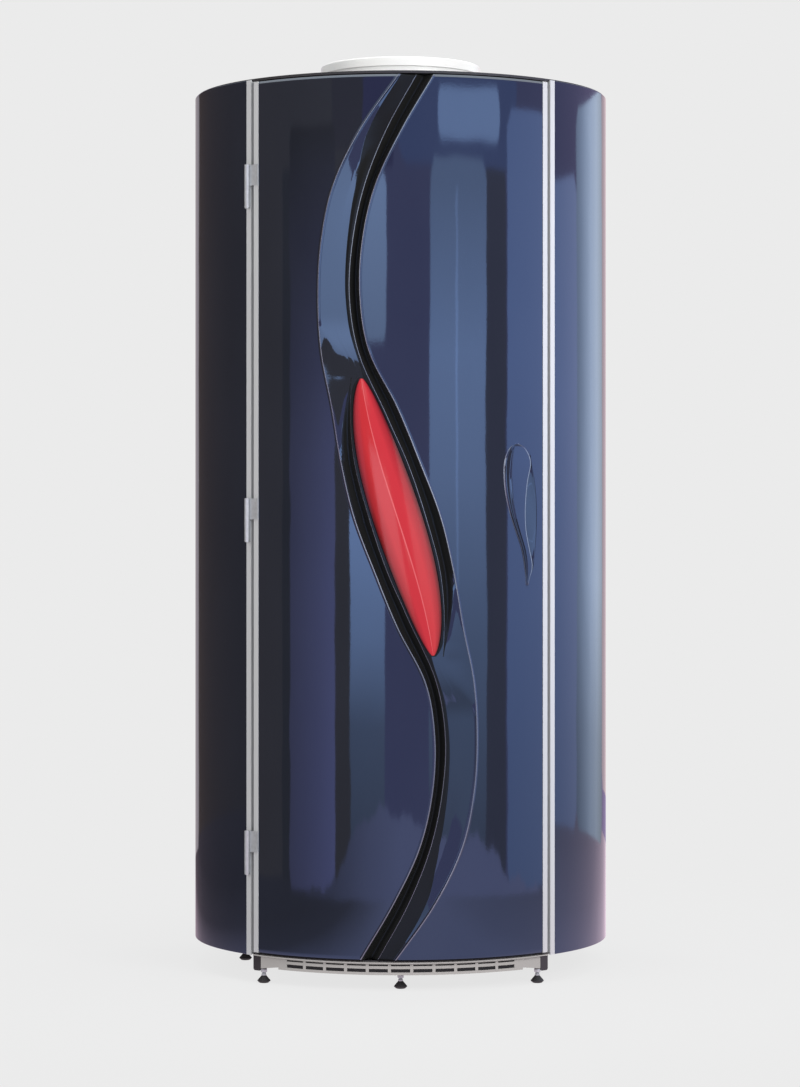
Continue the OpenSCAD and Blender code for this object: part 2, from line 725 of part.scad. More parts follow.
// Door stile: aluminium profile along one edge of the door, drawn for the right side.
// Its reflector lips end short of the caps that close the lamp space.
cap_in = 0.5;
cap_t = 2;
cap_room = cap_in + cap_t + seat;

module stile() color(bright_alu) {
  facing(door_half_a) {
    block([R - 2.4, -face_w, door_z0], [R + face_proud, 0, door_z1]);
    block([inner_r, -profile_t, door_z0], [R - 2, 0, door_z1]);
    block([inner_r, -inner_flange_w, door_z0], [inner_r + profile_t, 0, door_z1]);
    for (x = reflector_lips) block([x, -8, door_z0 + cap_room], [x + profile_t, 0, door_z1 - cap_room]);
  }
  lap_lip(door_half_a - face_a - 1.6, door_half_a, door_z0, door_z1);
}

module door_stile_right() stile();

module door_stile_left() mirror([1, 0, 0]) stile();

// Door caps: curved plates that close the lamp space at the top and bottom, inside
// the moulding's deepest channel
cap_r = R - channel_depth - skin_t - seat;
cap_a = door_half_a - web_a + 0.25;

module door_caps() color(black) for (z = [door_z0 + cap_in, door_z1 - cap_in - cap_t])
  sector(inner_r + profile_t + seat, cap_r, z, z + cap_t, -cap_a, cap_a);

module door_reflector() reflector(-door_half_a + web_a, door_half_a - web_a);

module lampholders_door() {
  edge = door_half_a - web_edge(profile_t);
  lampholders(door_lamps, -edge, edge);
}

module lamps_door() lamps(door_lamps);

module lamp_caps_door() lamp_caps(door_lamps);

module guard_hoops_door() color(bright_alu) for (dz = hoop_levels)
  hoop(-door_half_a + hoop_end_a, door_half_a - hoop_end_a, dz);

// Fan impeller: hub on the motor's shaft with cambered, pitched blades
hub_r = 50;
blade_t = 2.5;
camber_r = 80;

module fan_impeller() color(black) difference() {
  union() {
    translate([0, 0, hub_z0]) rotate_extrude() polygon([
      [0, 4], [hub_r - 6, 0], [hub_r, 4], [hub_r, hub_h], [0, hub_h]
    ]);
    for (i = [0 : fan_blades - 1]) rotate([0, 0, i * 360 / fan_blades]) intersection() {
      translate([0, 0, hub_z0 + hub_h / 2]) rotate([blade_pitch, 0, 0])
        translate([hub_r - 6, 0, camber_r]) rotate([0, 90, 0]) difference() {
          cylinder(r = camber_r, h = fan_r);
          translate([0, 0, -1]) cylinder(r = camber_r - blade_t, h = fan_r + 2);
        }
      translate([0, 0, hub_z0 + 1]) linear_extrude(hub_h + 1) intersection() {
        circle(r = fan_r);
        polygon([[hub_r - 6, -26], [fan_r + 10, -50], [fan_r + 10, 50], [hub_r - 6, 26]]);
      }
    }
  }
  translate([0, 0, hub_z0 - 1]) cylinder(d = shaft_d + 0.12, h = hub_h + 2);
}

// The door moulding is lofted through cross-sections. A section is a row of
// points [arc, height, inner shift]: the arc length from the door's centre line,
// the height over the cabin's cylinder, and how far the back face's point moves
// sideways so that steep walls keep their thickness.

function mix(a, b, t) = a + (b - a) * t;

function smooth(t) = let (c = max(0, min(1, t))) c * c * (3 - 2 * c);

// Value beside a table's ends: mirrored below 0 by parity, carried on above
function knot(tab, i, parity) =
  i < 0 ? parity * tab[-i] :
  i >= len(tab) ? 2 * tab[len(tab) - 1] - tab[2 * len(tab) - 2 - i] : tab[i];

// Smooth curve through a table's values at t = 0, 1, 2 ...
function curve(tab, t, parity = 1) =
  let (
    i = max(0, min(floor(t), len(tab) - 2)),
    u = t - i,
    p0 = knot(tab, i - 1, parity),
    p1 = tab[i],
    p2 = tab[i + 1],
    p3 = knot(tab, i + 2, parity)
  )
  0.5 * (2 * p1 + (p2 - p0) * u + (2 * p0 - 5 * p1 + 4 * p2 - p3) * u * u
    + (3 * p1 - p0 - 3 * p2 + p3) * u * u * u);

// The swept relief is a ribbon that turns about the door's middle. Its centre,
// half width and inner lip are set at eighths of the half height, from the middle.
ribbon_centre = [0, -39, -82.5, -128.5, -145.5, -139, -108.5, -45, 45.5];
ribbon_half = [103, 96, 75.5, 56.5, 51.5, 52, 56.5, 55, 41.5];
upper_lip = [68, 26, -38, -88, -110, -105, -80, -27, 46];
lower_lip = [68, 103, 113, 104];
tail_width = 35;
eighth = door_half / 8;

function ribbon_left(z) = curve(ribbon_centre, z / eighth, -1) - curve(ribbon_half, z / eighth);

function ribbon_right(z) = curve(ribbon_centre, z / eighth, -1) + curve(ribbon_half, z / eighth);

// The lens is a leaning spindle in the middle of the ribbon
lens_lean = 0.32;
lens_curl = 0.06;
lens_round = 0.65;
lens_land = 6;

function lens_part(z) = max(0, 1 - (z / lens_half_h) * (z / lens_half_h));

function lens_w(z) = max(2.6, lens_half_w * pow(lens_part(z), lens_round));

function lens_c(z) = let (t = min(1, abs(z) / lens_half_h)) -z * (lens_lean - lens_curl * t * t);

// How far a height is into the plain wing above the lens, 0 at the lens's middle
wing_start = 0.95 * lens_half_h;
wing_run = 0.45 * lens_half_h;
tail_end = 0.97 * lens_half_h;

function wing(z) = smooth((z - wing_start) / wing_run);

// Half of the ribbon's section at a height z >= 0 above the door's middle. Both
// channels are steep V grooves, half as deep as they are wide.
bead_run = 6;
channel_slope = 0.52;
lip_rise = 4.5;
seat_run = 33;
step = 1.2;

function groove(w) = -min(channel_depth, channel_slope * w);

function ribbon_upper(z) =
  let (
    a = ribbon_left(z),
    b = ribbon_right(z),
    lens_left = lens_c(z) - lens_w(z),
    lens_right = lens_c(z) + lens_w(z),
    in_lens = z < lens_half_h ? 1 : 1 - smooth((z - lens_half_h) / wing_run),
    lip = max(curve(upper_lip, z / eighth), z < lens_half_h ? lens_right + lens_land : -R),
    tail = z < tail_end ? pow(1 - (z / tail_end) * (z / tail_end), 0.8) : 0,
    tail_in = min(-curve(lower_lip, min(z, lens_half_h) / eighth), lens_left - lens_land),
    tail_out = max(a + 1.5, tail_in - max(2.5, tail_width * tail)),
    tail_h = tail > 0 ? groove(tail_in - tail_out) * min(1, 4 * tail) : 0,
    apart = smooth((tail_out - a - 1.5) / 8),
    land = -ledge_depth * (1 - wing(z)),
    sink = function (s)
      let (u = (s - a) / (lip - a))
      land * smooth(u) - wing_depth * wing(z) * u * (1.5 - 0.5 * u),
    seat_h = land - lens_seat * smooth((lens_half_h - z) / seat_run),
    spread = function (k) a + 5 + (lip - mix(6, 11, wing(z)) - a - 5) * k / 8,
    lens_at = function (k, s) mix(spread(k), s, in_lens),
    lip_h = land - (wing_depth - lip_rise) * wing(z),
    chan_w = b - lip,
    chan_h = max(-channel_depth, groove(chan_w) + lip_h - land),
    run = chan_w * 0.24,
    edge = mix(mix(tail_out, tail_in, 0.24), tail_out, apart),
    edge_h = tail_h * 0.5 * (1 - apart),
    slope_h = mix(land, tail_h, 0.5)
  )
  [
    [a - bead_run, 0, 0],
    [a, bead_h, -1.5 * tail],
    [lens_at(0, edge), mix(sink(spread(0)), edge_h, in_lens), -2 * tail],
    [lens_at(1, mix(tail_out, tail_in, 0.5)), mix(sink(spread(1)), tail_h, in_lens), 0],
    [lens_at(2, mix(tail_out, tail_in, 0.76)), mix(sink(spread(2)), slope_h, in_lens), 2 * tail],
    [lens_at(3, tail_in), mix(sink(spread(3)), land, in_lens), 1.5 * tail],
    [lens_at(4, lens_left - lens_gap - step), mix(sink(spread(4)), land, in_lens), -2 * in_lens],
    [lens_at(5, lens_left - lens_gap), mix(sink(spread(5)), seat_h, in_lens), -2.4 * in_lens],
    [lens_at(6, lens_c(z)), mix(sink(spread(6)), seat_h, in_lens), 0],
    [lens_at(7, lens_right + lens_gap), mix(sink(spread(7)), seat_h, in_lens), 2.4 * in_lens],
    [lens_at(8, lens_right + lens_gap + step), mix(sink(spread(8)), land, in_lens), 2 * in_lens],
    [lip, lip_h, -1.5],
    [lip + run, mix(lip_h, chan_h, 0.5), -2],
    [mix(lip, b, 0.5), chan_h, 0],
    [b - run, chan_h * 0.5, 2],
    [b, bead_h, 1.5],
    [b + bead_run, 0, 0]
  ];

// The ribbon is the same below the middle, turned half a turn
function ribbon(z) =
  z >= 0 ? [for (p = ribbon_upper(z)) [p[0] + relief_shift, p[1], p[2]]] :
  let (u = ribbon_upper(-z), n = len(u))
  [for (i = [n - 1 : -1 : 0]) [relief_shift - u[i][0], u[i][1], -u[i][2]]];

// Moulded handle: distances from the door's edge of its outer edge, lip and pocket
// edge, at eighths of its height, upwards. Its top is rounded off.
grip_outer = [52, 57, 65, 82, 99, 111, 117, 117, 112];
grip_lip = [48, 38, 48, 58, 61, 59, 53, 42, 46];
grip_pocket = [44, 29, 23, 18, 16, 18, 25, 35, 40];
grip_round = 0.6;
round_power = 2.6;
pocket_part = 0.84;
door_arc = door_skin_a * PI / 180 * R;

function bulge(v) = abs(v) < 1 ? pow(1 - pow(abs(v), 3), 0.6) : 0;

// Section of the door's right side, from the ribbon's edge to the stile
function handle_side(z, start) =
  let (
    v = (z - grip_z) / (grip_h / 2),
    t = max(0, min(8, 4 * (v + 1))),
    top = max(0, min(1, (v - grip_round) / (1 - grip_round))),
    full = (curve(grip_outer, t) - curve(grip_lip, t)) / 2,
    half = max(4, full * pow(1 - pow(top, round_power), 1 / round_power)),
    middle = door_arc - (curve(grip_outer, t) + curve(grip_lip, t)) / 2,
    o = middle - half,
    l = middle + half,
    p = max(l + 6, door_arc - curve(grip_pocket, t)),
    away = smooth((abs(z - grip_z) - grip_h / 2) / 150),
    e = bulge(v),
    rise = grip_rise * e,
    dip = -pocket_depth * bulge(v / pocket_part),
    body = l - o,
    points = [
      [mix(start, o, 0.2), 0, 0], [mix(start, o, 0.4), 0, 0],
      [mix(start, o, 0.6), 0, 0], [mix(start, o, 0.8), 0, 0],
      [o, 0, 0],
      [o + body * 0.07, rise * 0.5, 0],
      [o + body * 0.2, rise * 0.58, 0],
      [o + body * 0.28, rise * 0.96, 0],
      [l - min(2.5, body * 0.15), rise, -3 * e],
      [l, rise * 0.9, -3.6 * e],
      [l + 1.6, dip, -3.4 * e],
      [mix(l, p, 0.4), dip * 0.62, -1.5 * e],
      [mix(l, p, 0.75), dip * 0.26, 0],
      [p, 0, 0],
      [mix(p, door_arc, 0.5), 0, 0]
    ],
    n = len(points)
  )
  [for (i = [0 : n - 1])
    [mix(points[i][0], mix(start, door_arc, (i + 1) / (n + 1)), away), points[i][1], points[i][2]]];

plain_left = 7;
edge_round = 8;
edge_fall = 3;

// One whole section: plain left side, ribbon, handle side and both edges
function section(z) =
  let (
    r = ribbon(z),
    left = [for (i = [0 : plain_left - 1]) [mix(-door_arc, r[0][0], i / plain_left), 0, 0]],
    right = handle_side(z, r[len(r) - 1][0]),
    near_edge = max(0, 1 - (door_half - abs(z)) / edge_round),
    fall = -edge_fall * near_edge * near_edge
  )
  [for (p = concat(left, r, right, [[door_arc, 0, 0]])) [p[0], p[1] + fall, p[2]]];

// Heights of the sections: even above and below, closer around lens and handle
plain_rows = 11;
tip_rows = 7;
grip_rows = 12;
dense_half = grip_h / 2 + 12;

function even_rows(z0, z1, n) = [for (i = [0 : n - 1]) mix(z0, z1, i / n)];

upper_rows = concat(
  [for (i = [1 : tip_rows]) mix(dense_half, lens_half_h, sin(90 * i / tip_rows))],
  [for (i = [1 : plain_rows]) mix(lens_half_h, door_half - edge_round, i / plain_rows)],
  [door_half - edge_round / 2, door_half]
);
section_rows = concat(
  [for (i = [len(upper_rows) - 1 : -1 : 0]) -upper_rows[i]],
  [for (i = [0 : grip_rows]) -dense_half * cos(180 * i / grip_rows)],
  upper_rows
);

// A point on the cabin's cylinder at an arc length, a height over it and a level
function on_skin(s, h, z) = let (a = s / R * 180 / PI) [(R + h) * sin(a), -(R + h) * cos(a), door_mid + z];

// Closed sheet from a front and a back grid of points with the same rows and columns
module sheet(front, back) {
  rows = len(front);
  cols = len(front[0]);
  half = rows * cols;
  points = [for (row = front) each row, for (row = back) each row];
  cell = function (i, j) i * cols + j;
  quads = [
    for (i = [0 : rows - 2], j = [0 : cols - 2])
      each [
        [cell(i, j), cell(i + 1, j), cell(i + 1, j + 1)],
        [cell(i, j), cell(i + 1, j + 1), cell(i, j + 1)],
        [half + cell(i, j), half + cell(i + 1, j + 1), half + cell(i + 1, j)],
        [half + cell(i, j), half + cell(i, j + 1), half + cell(i + 1, j + 1)]
      ],
    for (j = [0 : cols - 2], i = [0, rows - 1])
      let (a = cell(i, j), b = cell(i, j + 1))
      each i == 0
        ? [[a, b, half + b], [a, half + b, half + a]]
        : [[a, half + b, b], [a, half + a, half + b]],
    for (i = [0 : rows - 2], j = [0, cols - 1])
      let (a = cell(i, j), b = cell(i + 1, j))
      each j == 0
        ? [[a, half + b, b], [a, half + a, half + b]]
        : [[a, b, half + b], [a, half + b, half + a]]
  ];
  polyhedron(points, quads);
}

module door_skin() color(navy) {
  sections = [for (z = section_rows) section(z)];
  rows = [0 : len(section_rows) - 1];
  sheet(
    [for (i = rows) [for (p = sections[i]) on_skin(p[0], p[1], section_rows[i])]],
    [for (i = rows) [for (p = sections[i]) on_skin(p[0] + p[2], p[1] - skin_t, section_rows[i])]]
  );
}

// Lens: crowned red spindle that lies in the moulding's pocket, with a ridge down its middle.
// The ridge is the share of the crown that rises straight from the edges.
lens_rows = 24;
lens_cols = 8;
lens_end = 0.992;
lens_ridge = 0.4;

module door_lens() color(lens_red) {
  levels = [for (i = [0 : lens_rows]) -lens_end * lens_half_h * cos(180 * i / lens_rows)];
  across = [for (k = [0 : lens_cols]) -cos(180 * k / lens_cols)];
  bottom = function (z) lens_gap - ledge_depth - lens_seat * smooth((lens_half_h - 6 - abs(z)) / seat_run);
  rim = -ledge_depth + 0.6;
  at = function (z, q, h) on_skin(relief_shift + lens_c(z) + q * (lens_w(z) - 0.6), h, z);
  full = function (z) lens_crown * lens_w(z) / lens_half_w;
  crown = function (z, q) rim + full(z) * mix(1 - q * q, 1 - abs(q), lens_ridge);
  bed = function (z, q)
    mix(at(z, q < 0 ? -1 : 0, bottom(z)), at(z, q < 0 ? 0 : 1, bottom(z)), q < 0 ? q + 1 : q);
  sheet(
    [for (z = levels) [for (q = across) at(z, q, crown(z, q))]],
    [for (z = levels) [for (q = across) bed(z, q)]]
  );
}

base_frame();
floor_tray();
plinth_grille();
plinth_filter();
plinth_end_blocks();
post_left();
post_right();
rear_posts();
side_skin_left();
side_skin_right();
rear_skin();
roof_tray();
extraction_collar();
ceiling_panel();
fan_shroud();
fan_motor_mount();
fan_motor();
exhaust_guard();
cable_gland();
reflector_left();
reflector_rear();
reflector_right();
lampholders_cabin();
lamps_left();
lamps_rear();
lamps_right();
lamp_caps_cabin();
guard_hoops_cabin();
ballast_trays();
ballasts();
control_pod();
hinge_leaves_post();
hinge_pins();
door_magnets();
jamb_seals();
door_skin();
door_lens();
door_stile_left();
door_stile_right();
door_caps();
door_reflector();
lampholders_door();
lamps_door();
lamp_caps_door();
guard_hoops_door();
hinge_leaves_door();
strike_plates();
fan_impeller();
start_button();
levelling_foot(0);  // foot_front_left
levelling_foot(1);  // foot_front_centre
levelling_foot(2);  // foot_front_right
levelling_foot(3);  // foot_hinge_side
levelling_foot(4);  // foot_rear_left
levelling_foot(5);  // foot_rear_right
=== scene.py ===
# A stand-up tanning cabin: a drum of navy shells on levelling feet, with a moulded
# door on three hinges, lamps all round inside and an exhaust fan in the roof.
import json
import math

import bpy
import numpy as np
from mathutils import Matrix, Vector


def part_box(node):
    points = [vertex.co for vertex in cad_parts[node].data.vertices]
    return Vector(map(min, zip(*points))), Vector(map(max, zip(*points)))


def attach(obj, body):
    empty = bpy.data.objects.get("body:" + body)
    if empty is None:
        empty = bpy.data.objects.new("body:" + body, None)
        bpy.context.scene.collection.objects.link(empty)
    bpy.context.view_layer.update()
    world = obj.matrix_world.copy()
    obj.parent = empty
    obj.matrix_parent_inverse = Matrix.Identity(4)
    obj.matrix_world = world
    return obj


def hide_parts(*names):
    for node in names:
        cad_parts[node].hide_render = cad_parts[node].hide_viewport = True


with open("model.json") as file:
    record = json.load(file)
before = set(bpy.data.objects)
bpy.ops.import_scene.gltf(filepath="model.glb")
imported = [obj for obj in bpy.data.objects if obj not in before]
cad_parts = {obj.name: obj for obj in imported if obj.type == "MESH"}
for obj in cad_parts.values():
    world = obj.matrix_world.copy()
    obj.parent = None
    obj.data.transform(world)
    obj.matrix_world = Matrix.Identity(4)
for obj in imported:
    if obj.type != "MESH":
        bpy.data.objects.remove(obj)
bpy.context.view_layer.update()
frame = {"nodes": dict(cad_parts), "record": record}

# Camera
# It stands where the photograph was taken: level, square to the door and at chest
# height. The long lens and the small shift give the photograph's framing.
photo_w, photo_h = 800, 1087
photo_focal = 3030.0
photo_axis_x, photo_horizon_y = 400.6, 517.5
eye_distance, eye_height = 7.696, 1.123

camera_data = bpy.data.cameras.new("camera")
camera_data.sensor_width = 36.0
camera_data.lens = photo_focal / photo_h * camera_data.sensor_width
camera_data.shift_x = (photo_w / 2 - photo_axis_x) / photo_h
camera_data.shift_y = (photo_horizon_y - photo_h / 2) / photo_h
camera_data.clip_end = 60.0
camera = bpy.data.objects.new("camera", camera_data)
camera.location = (0.0, -eye_distance, eye_height)
camera.rotation_euler = (math.radians(90), 0.0, 0.0)
bpy.context.scene.collection.objects.link(camera)
bpy.context.scene.camera = camera
bpy.context.scene.view_settings.view_transform = "Standard"

# Studio
# A pale floor and a pale world make the plain background. Tall softboxes stand
# round the cabin with black cloth between them, and only its gloss sees them.
background = (0.831, 0.831, 0.831, 1.0)


def mesh_object(name, verts, faces, smooth=True, crease=55):
    """Object at the origin with the given points and faces, smooth up to a crease angle."""
    mesh = bpy.data.meshes.new(name)
    mesh.from_pydata(np.asarray(verts, float).tolist(), [], [list(f) for f in faces])
    mesh.update()
    mesh.polygons.foreach_set("use_smooth", np.full(len(mesh.polygons), smooth))
    if smooth:
        mesh.set_sharp_from_angle(angle=math.radians(crease))
    obj = bpy.data.objects.new(name, mesh)
    bpy.context.scene.collection.objects.link(obj)
    return obj


def grid_faces(rows, cols, start=0, flip=False, closed=False):
    """Quads of a grid of points stored row by row, closed to a tube if asked."""
    across = cols if closed else cols - 1
    i, j = np.meshgrid(np.arange(rows - 1), np.arange(across), indexing="ij")
    k = (j + 1) % cols
    here, above = i * cols, (i + 1) * cols
    quads = np.stack([here + j, here + k, above + k, above + j], axis=-1).reshape(-1, 4)
    return start + (quads[:, ::-1] if flip else quads)


def around(azimuth, r, z):
    """Points at an azimuth in degrees from the front, positive to the right."""
    a = np.radians(azimuth)
    return np.stack(np.broadcast_arrays(r * np.sin(a), -r * np.cos(a), z), axis=-1)


def shader(name):
    """New material, with its nodes and links and its Principled BSDF."""
    mat = bpy.data.materials.new(name)
    mat.use_nodes = True
    nodes, links = mat.node_tree.nodes, mat.node_tree.links
    return mat, nodes, links, nodes["Principled BSDF"]


def set_inputs(node, values):
    """Give a shader node's named inputs their values."""
    for name, value in values.items():
        node.inputs[name].default_value = value
    return node


def fill_ramp(ramp, stops):
    """Set a colour ramp's stops in order, each a position from 0 to 1 and a colour."""
    points = ramp.color_ramp.elements
    while len(points) < len(stops):
        points.new(1.0)
    for point, (at, colour) in zip(points, stops):
        point.position = at
        point.color = (*colour, 1.0)


def glow(name, strength, tint, ramps):
    """Emission times a ramp of (metres, share) along each named axis of the studio."""
    mat, nodes, links, principled = shader(name)
    nodes.remove(principled)
    place = nodes.new("ShaderNodeTexCoord")
    parts = nodes.new("ShaderNodeSeparateXYZ")
    emission = nodes.new("ShaderNodeEmission")
    set_inputs(emission, {"Strength": strength, "Color": (*tint, 1.0)})
    links.new(place.outputs["Object"], parts.inputs[0])
    links.new(emission.outputs[0], nodes["Material Output"].inputs["Surface"])
    before = None
    for axis, stops in ramps.items():
        low, high = stops[0][0], stops[-1][0]
        span = nodes.new("ShaderNodeMapRange")
        set_inputs(span, {"From Min": low, "From Max": high})
        ramp = nodes.new("ShaderNodeValToRGB")
        fill_ramp(ramp, [((at - low) / (high - low), 3 * (share,)) for at, share in stops])
        colour = nodes.new("ShaderNodeMix")
        colour.data_type = "RGBA"
        colour.blend_type = "MULTIPLY"
        set_inputs(colour, {"Factor": 1.0, "B": (*tint, 1.0)})
        links.new(parts.outputs[axis], span.inputs["Value"])
        links.new(span.outputs[0], ramp.inputs["Fac"])
        links.new(ramp.outputs[0], colour.inputs["A"])
        if before:
            links.new(before, colour.inputs["B"])
        before = colour.outputs["Result"]
        links.new(before, emission.inputs["Color"])
    return mat


def for_gloss(card):
    """Studio card that nothing but gloss sees."""
    card.visible_camera = False
    card.visible_diffuse = False
    card.visible_transmission = False
    card.visible_shadow = False


def softbox(name, a0, a1, z0, z1, strength, r=2.35, corner=0.10, tint=(1.0, 1.0, 1.0), **ramps):
    """Upright card round the axis from a0 to a1 degrees and z0 to z1, seen by gloss only.

    Its grid runs from -1 to 1 both ways, and near a corner each row is drawn in by a
    quarter circle.
    """
    lines = 41
    u = v = np.linspace(-1.0, 1.0, lines)
    half_w = math.radians(a1 - a0) / 2 * r
    half_h = (z1 - z0) / 2
    inset = np.maximum(0.0, np.abs(v) * half_h - (half_h - corner))
    width = 1.0 - (corner - np.sqrt(np.maximum(0.0, corner**2 - inset**2))) / half_w
    azimuth = (a0 + a1) / 2 + (a1 - a0) / 2 * u[None, :] * width[:, None]
    height = (z0 + z1) / 2 + half_h * v[:, None]
    points = around(azimuth, r, height).reshape(-1, 3)
    card = mesh_object(name, points, grid_faces(lines, lines))
    card.data.materials.append(glow(name, strength, tint, ramps))
    for_gloss(card)


softbox("cloth", -180, 180, 0.0, 3.4, 0.58, r=2.75, corner=0.001, tint=(0.78, 0.60, 1.0))
softbox("cloth_right", 42, 54, 0.0, 2.22, 0.24, r=2.65, corner=0.03, tint=(1.0, 0.80, 1.0))
softbox("cloth_left", -150, -82, 0.0, 3.4, 0.10, r=2.65, corner=0.01, tint=(1.0, 0.70, 0.60))
softbox("cloth_front", -82, -16, 0.0, 3.4, 0.23, r=2.65, corner=0.01, tint=(1.0, 0.63, 0.45))
softbox("cloth_gap", -61.5, -56.4, 0.0, 2.2, 0.05, r=2.55, corner=0.01)
softbox("cloth_top", -34, -16, 2.24, 3.2, 0.10, r=2.5, corner=0.01, tint=(1.0, 0.6, 0.7))
softbox("cloth_crown", -18, -3.5, 2.18, 3.2, 0.34, r=2.45, corner=0.01, tint=(0.34, 0.28, 1.0))
left_ramp = ((1.5, 0.72), (1.9, 1.0), (2.3, 1.25))
left_tint = (1.0, 0.94, 0.96)
softbox("softbox_left", -28, -6.6, 1.645, 2.15, 2.4, corner=0.08, tint=left_tint, Z=left_ramp)
far_ramp = ((0.0, 1.0), (0.9, 1.0), (1.3, 0.85), (1.8, 0.35), (2.3, 0.0))
far_roll = ((-1.96, 0.42), (-1.25, 1.0))
far_look = {"tint": (1.0, 0.72, 1.05), "Z": far_ramp, "X": far_roll}
softbox("softbox_far_left", -56.4, -32.0, 0.0, 2.3, 1.0, corner=0.03, **far_look)
front_ramp = ((0.0, 0.10), (0.20, 0.24), (0.76, 0.50), (1.25, 0.88), (1.62, 1.0), (2.12, 0.62))
front_tint = (0.97, 0.97, 1.08)
front_look = {"tint": front_tint, "Z": front_ramp}
low_ramp = ((0.0, 0.10), (0.20, 0.20), (0.50, 0.30), (0.76, 0.75), (1.1, 1.1))
low_look = {"tint": front_tint, "Z": low_ramp}
softbox("softbox_left_low", -24.4, -7.6, 0.0, 1.32, 2.4, r=2.3, corner=0.04, **low_look)
softbox("softbox_right", 13.8, 42.8, 0.0, 2.20, 2.1, **front_look)
softbox("streak", 26.9, 27.9, 0.3, 2.1, 3.0, r=2.3, corner=0.005, **front_look)
softbox("umbrella", 18, 50, 2.25, 2.415, 2.3, corner=0.08, tint=front_tint)
side_ramp = ((0.0, 0.62), (0.3, 0.68), (0.9, 0.85), (1.6, 1.0), (2.3, 0.95))
softbox("softbox_side", 54.0, 104.5, 0.0, 2.36, 1.65, tint=(0.80, 0.84, 1.12), Z=side_ramp)
edge_ramp = ((0.0, 0.55), (0.35, 0.62), (0.9, 1.0), (2.6, 1.0))
edge_roll = ((0.58, 0.62), (0.9, 0.92), (1.2, 1.12), (1.5, 1.0), (1.86, 0.45))
edge_look = {"tint": (0.84, 0.94, 1.06), "Z": edge_ramp, "Y": edge_roll}
softbox("softbox_edge", 104.5, 142, 0.0, 2.6, 1.95, **edge_look)
softbox("softbox_back", 142, 176, 0.2, 2.7, 1.1, tint=(0.80, 0.62, 0.66))
softbox("softbox_back_left", -166, -143, 0.0, 2.6, 0.5, tint=(1.0, 0.88, 0.92))
softbox("upper_wall", -3.5, 60, 2.19, 3.2, 0.62, r=2.5, corner=0.3, tint=(0.66, 0.76, 1.30))
softbox("ridge_strip", -3.2, 0.6, 0.88, 1.37, 1.8, r=2.2, corner=0.04)

skirt_r, skirt_least = 2.22, 0.002
skirt_at = [-50, -31, -24, -10, 4, 19, 39, 46, 52, 74]
skirt_tops = [0.002, 0.05, 0.19, 0.27, 0.24, 0.21, 0.18, 0.15, 0.07, 0.002]
skirt_az = np.linspace(-50, 74, 125)
skirt_top = np.interp(skirt_az, skirt_at, skirt_tops)
skirt_top += 0.012 * np.sin(skirt_az * 0.55) + 0.006 * np.sin(skirt_az * 1.7)
skirt_rows = (0 * skirt_az, np.maximum(skirt_least, skirt_top))
skirt_points = np.stack([around(skirt_az, skirt_r, z) for z in skirt_rows])
skirt = mesh_object("floor_far", skirt_points.reshape(-1, 3), grid_faces(2, len(skirt_az)))
skirt_ramp = ((-1.4, 0.25), (-0.6, 0.75), (0.0, 1.0), (2.0, 1.0))
skirt.data.materials.append(glow("floor_far", 1.0, (1.1, 0.85, 1.05), {"X": skirt_ramp}))
for_gloss(skirt)


def level_square(name, half, z):
    """Level square about the axis: plus and minus half its side, at one height."""
    corners = [(-half, -half, z), (half, -half, z), (half, half, z), (-half, half, z)]
    return mesh_object(name, corners, [(0, 1, 2, 3)], smooth=False)


shade = level_square("floor_shade", 6.0, 0.001)
shade_ramp = ((-1.4, 0.08), (-0.9, 0.14), (-0.55, 0.5), (-0.2, 0.95), (0.7, 0.95), (1.1, 0.78))
shade_ramp += ((2.0, 0.62),)
shade.data.materials.append(glow("floor_shade", 1.0, (1.1, 0.85, 1.0), {"X": shade_ramp}))
for_gloss(shade)

floor = level_square("floor", 20.0, 0.0)
mat, nodes, links, principled = shader("floor_paper")
paper_look = {"Base Color": (0.80, 0.80, 0.80, 1.0), "Roughness": 0.9, "Specular IOR Level": 0.0}
set_inputs(principled, paper_look)
paper = set_inputs(nodes.new("ShaderNodeEmission"), {"Color": background})
coordinates = nodes.new("ShaderNodeTexCoord")
distance = nodes.new("ShaderNodeVectorMath")
distance.operation = "LENGTH"
fade = nodes.new("ShaderNodeMapRange")
set_inputs(fade, {"From Min": 0.6, "From Max": 1.9, "To Min": 0.09, "To Max": 0.0})
blend = nodes.new("ShaderNodeMixShader")
links.new(coordinates.outputs["Object"], distance.inputs[0])
links.new(distance.outputs["Value"], fade.inputs["Value"])
links.new(fade.outputs[0], blend.inputs[0])
links.new(paper.outputs[0], blend.inputs[1])
links.new(principled.outputs[0], blend.inputs[2])
links.new(blend.outputs[0], nodes["Material Output"].inputs["Surface"])
floor.data.materials.append(mat)

world = bpy.data.worlds.new("studio")
bpy.context.scene.world = world
world.use_nodes = True
nodes, links = world.node_tree.nodes, world.node_tree.links
seen = set_inputs(nodes["Background"], {"Color": background, "Strength": 1.0})
ambient = nodes.new("ShaderNodeBackground")
set_inputs(ambient, {"Color": (0.96, 0.98, 1.0, 1.0), "Strength": 0.55})
ray = nodes.new("ShaderNodeLightPath")
camera_or_gloss = nodes.new("ShaderNodeMath")
camera_or_gloss.operation = "MAXIMUM"
or_glass = nodes.new("ShaderNodeMath")
or_glass.operation = "MAXIMUM"
choose = nodes.new("ShaderNodeMixShader")
links.new(ray.outputs["Is Camera Ray"], camera_or_gloss.inputs[0])
links.new(ray.outputs["Is Glossy Ray"], camera_or_gloss.inputs[1])
links.new(camera_or_gloss.outputs[0], or_glass.inputs[0])
links.new(ray.outputs["Is Transmission Ray"], or_glass.inputs[1])
links.new(or_glass.outputs[0], choose.inputs[0])
links.new(ambient.outputs[0], choose.inputs[1])
links.new(seen.outputs[0], choose.inputs[2])
links.new(choose.outputs[0], nodes["World Output"].inputs["Surface"])


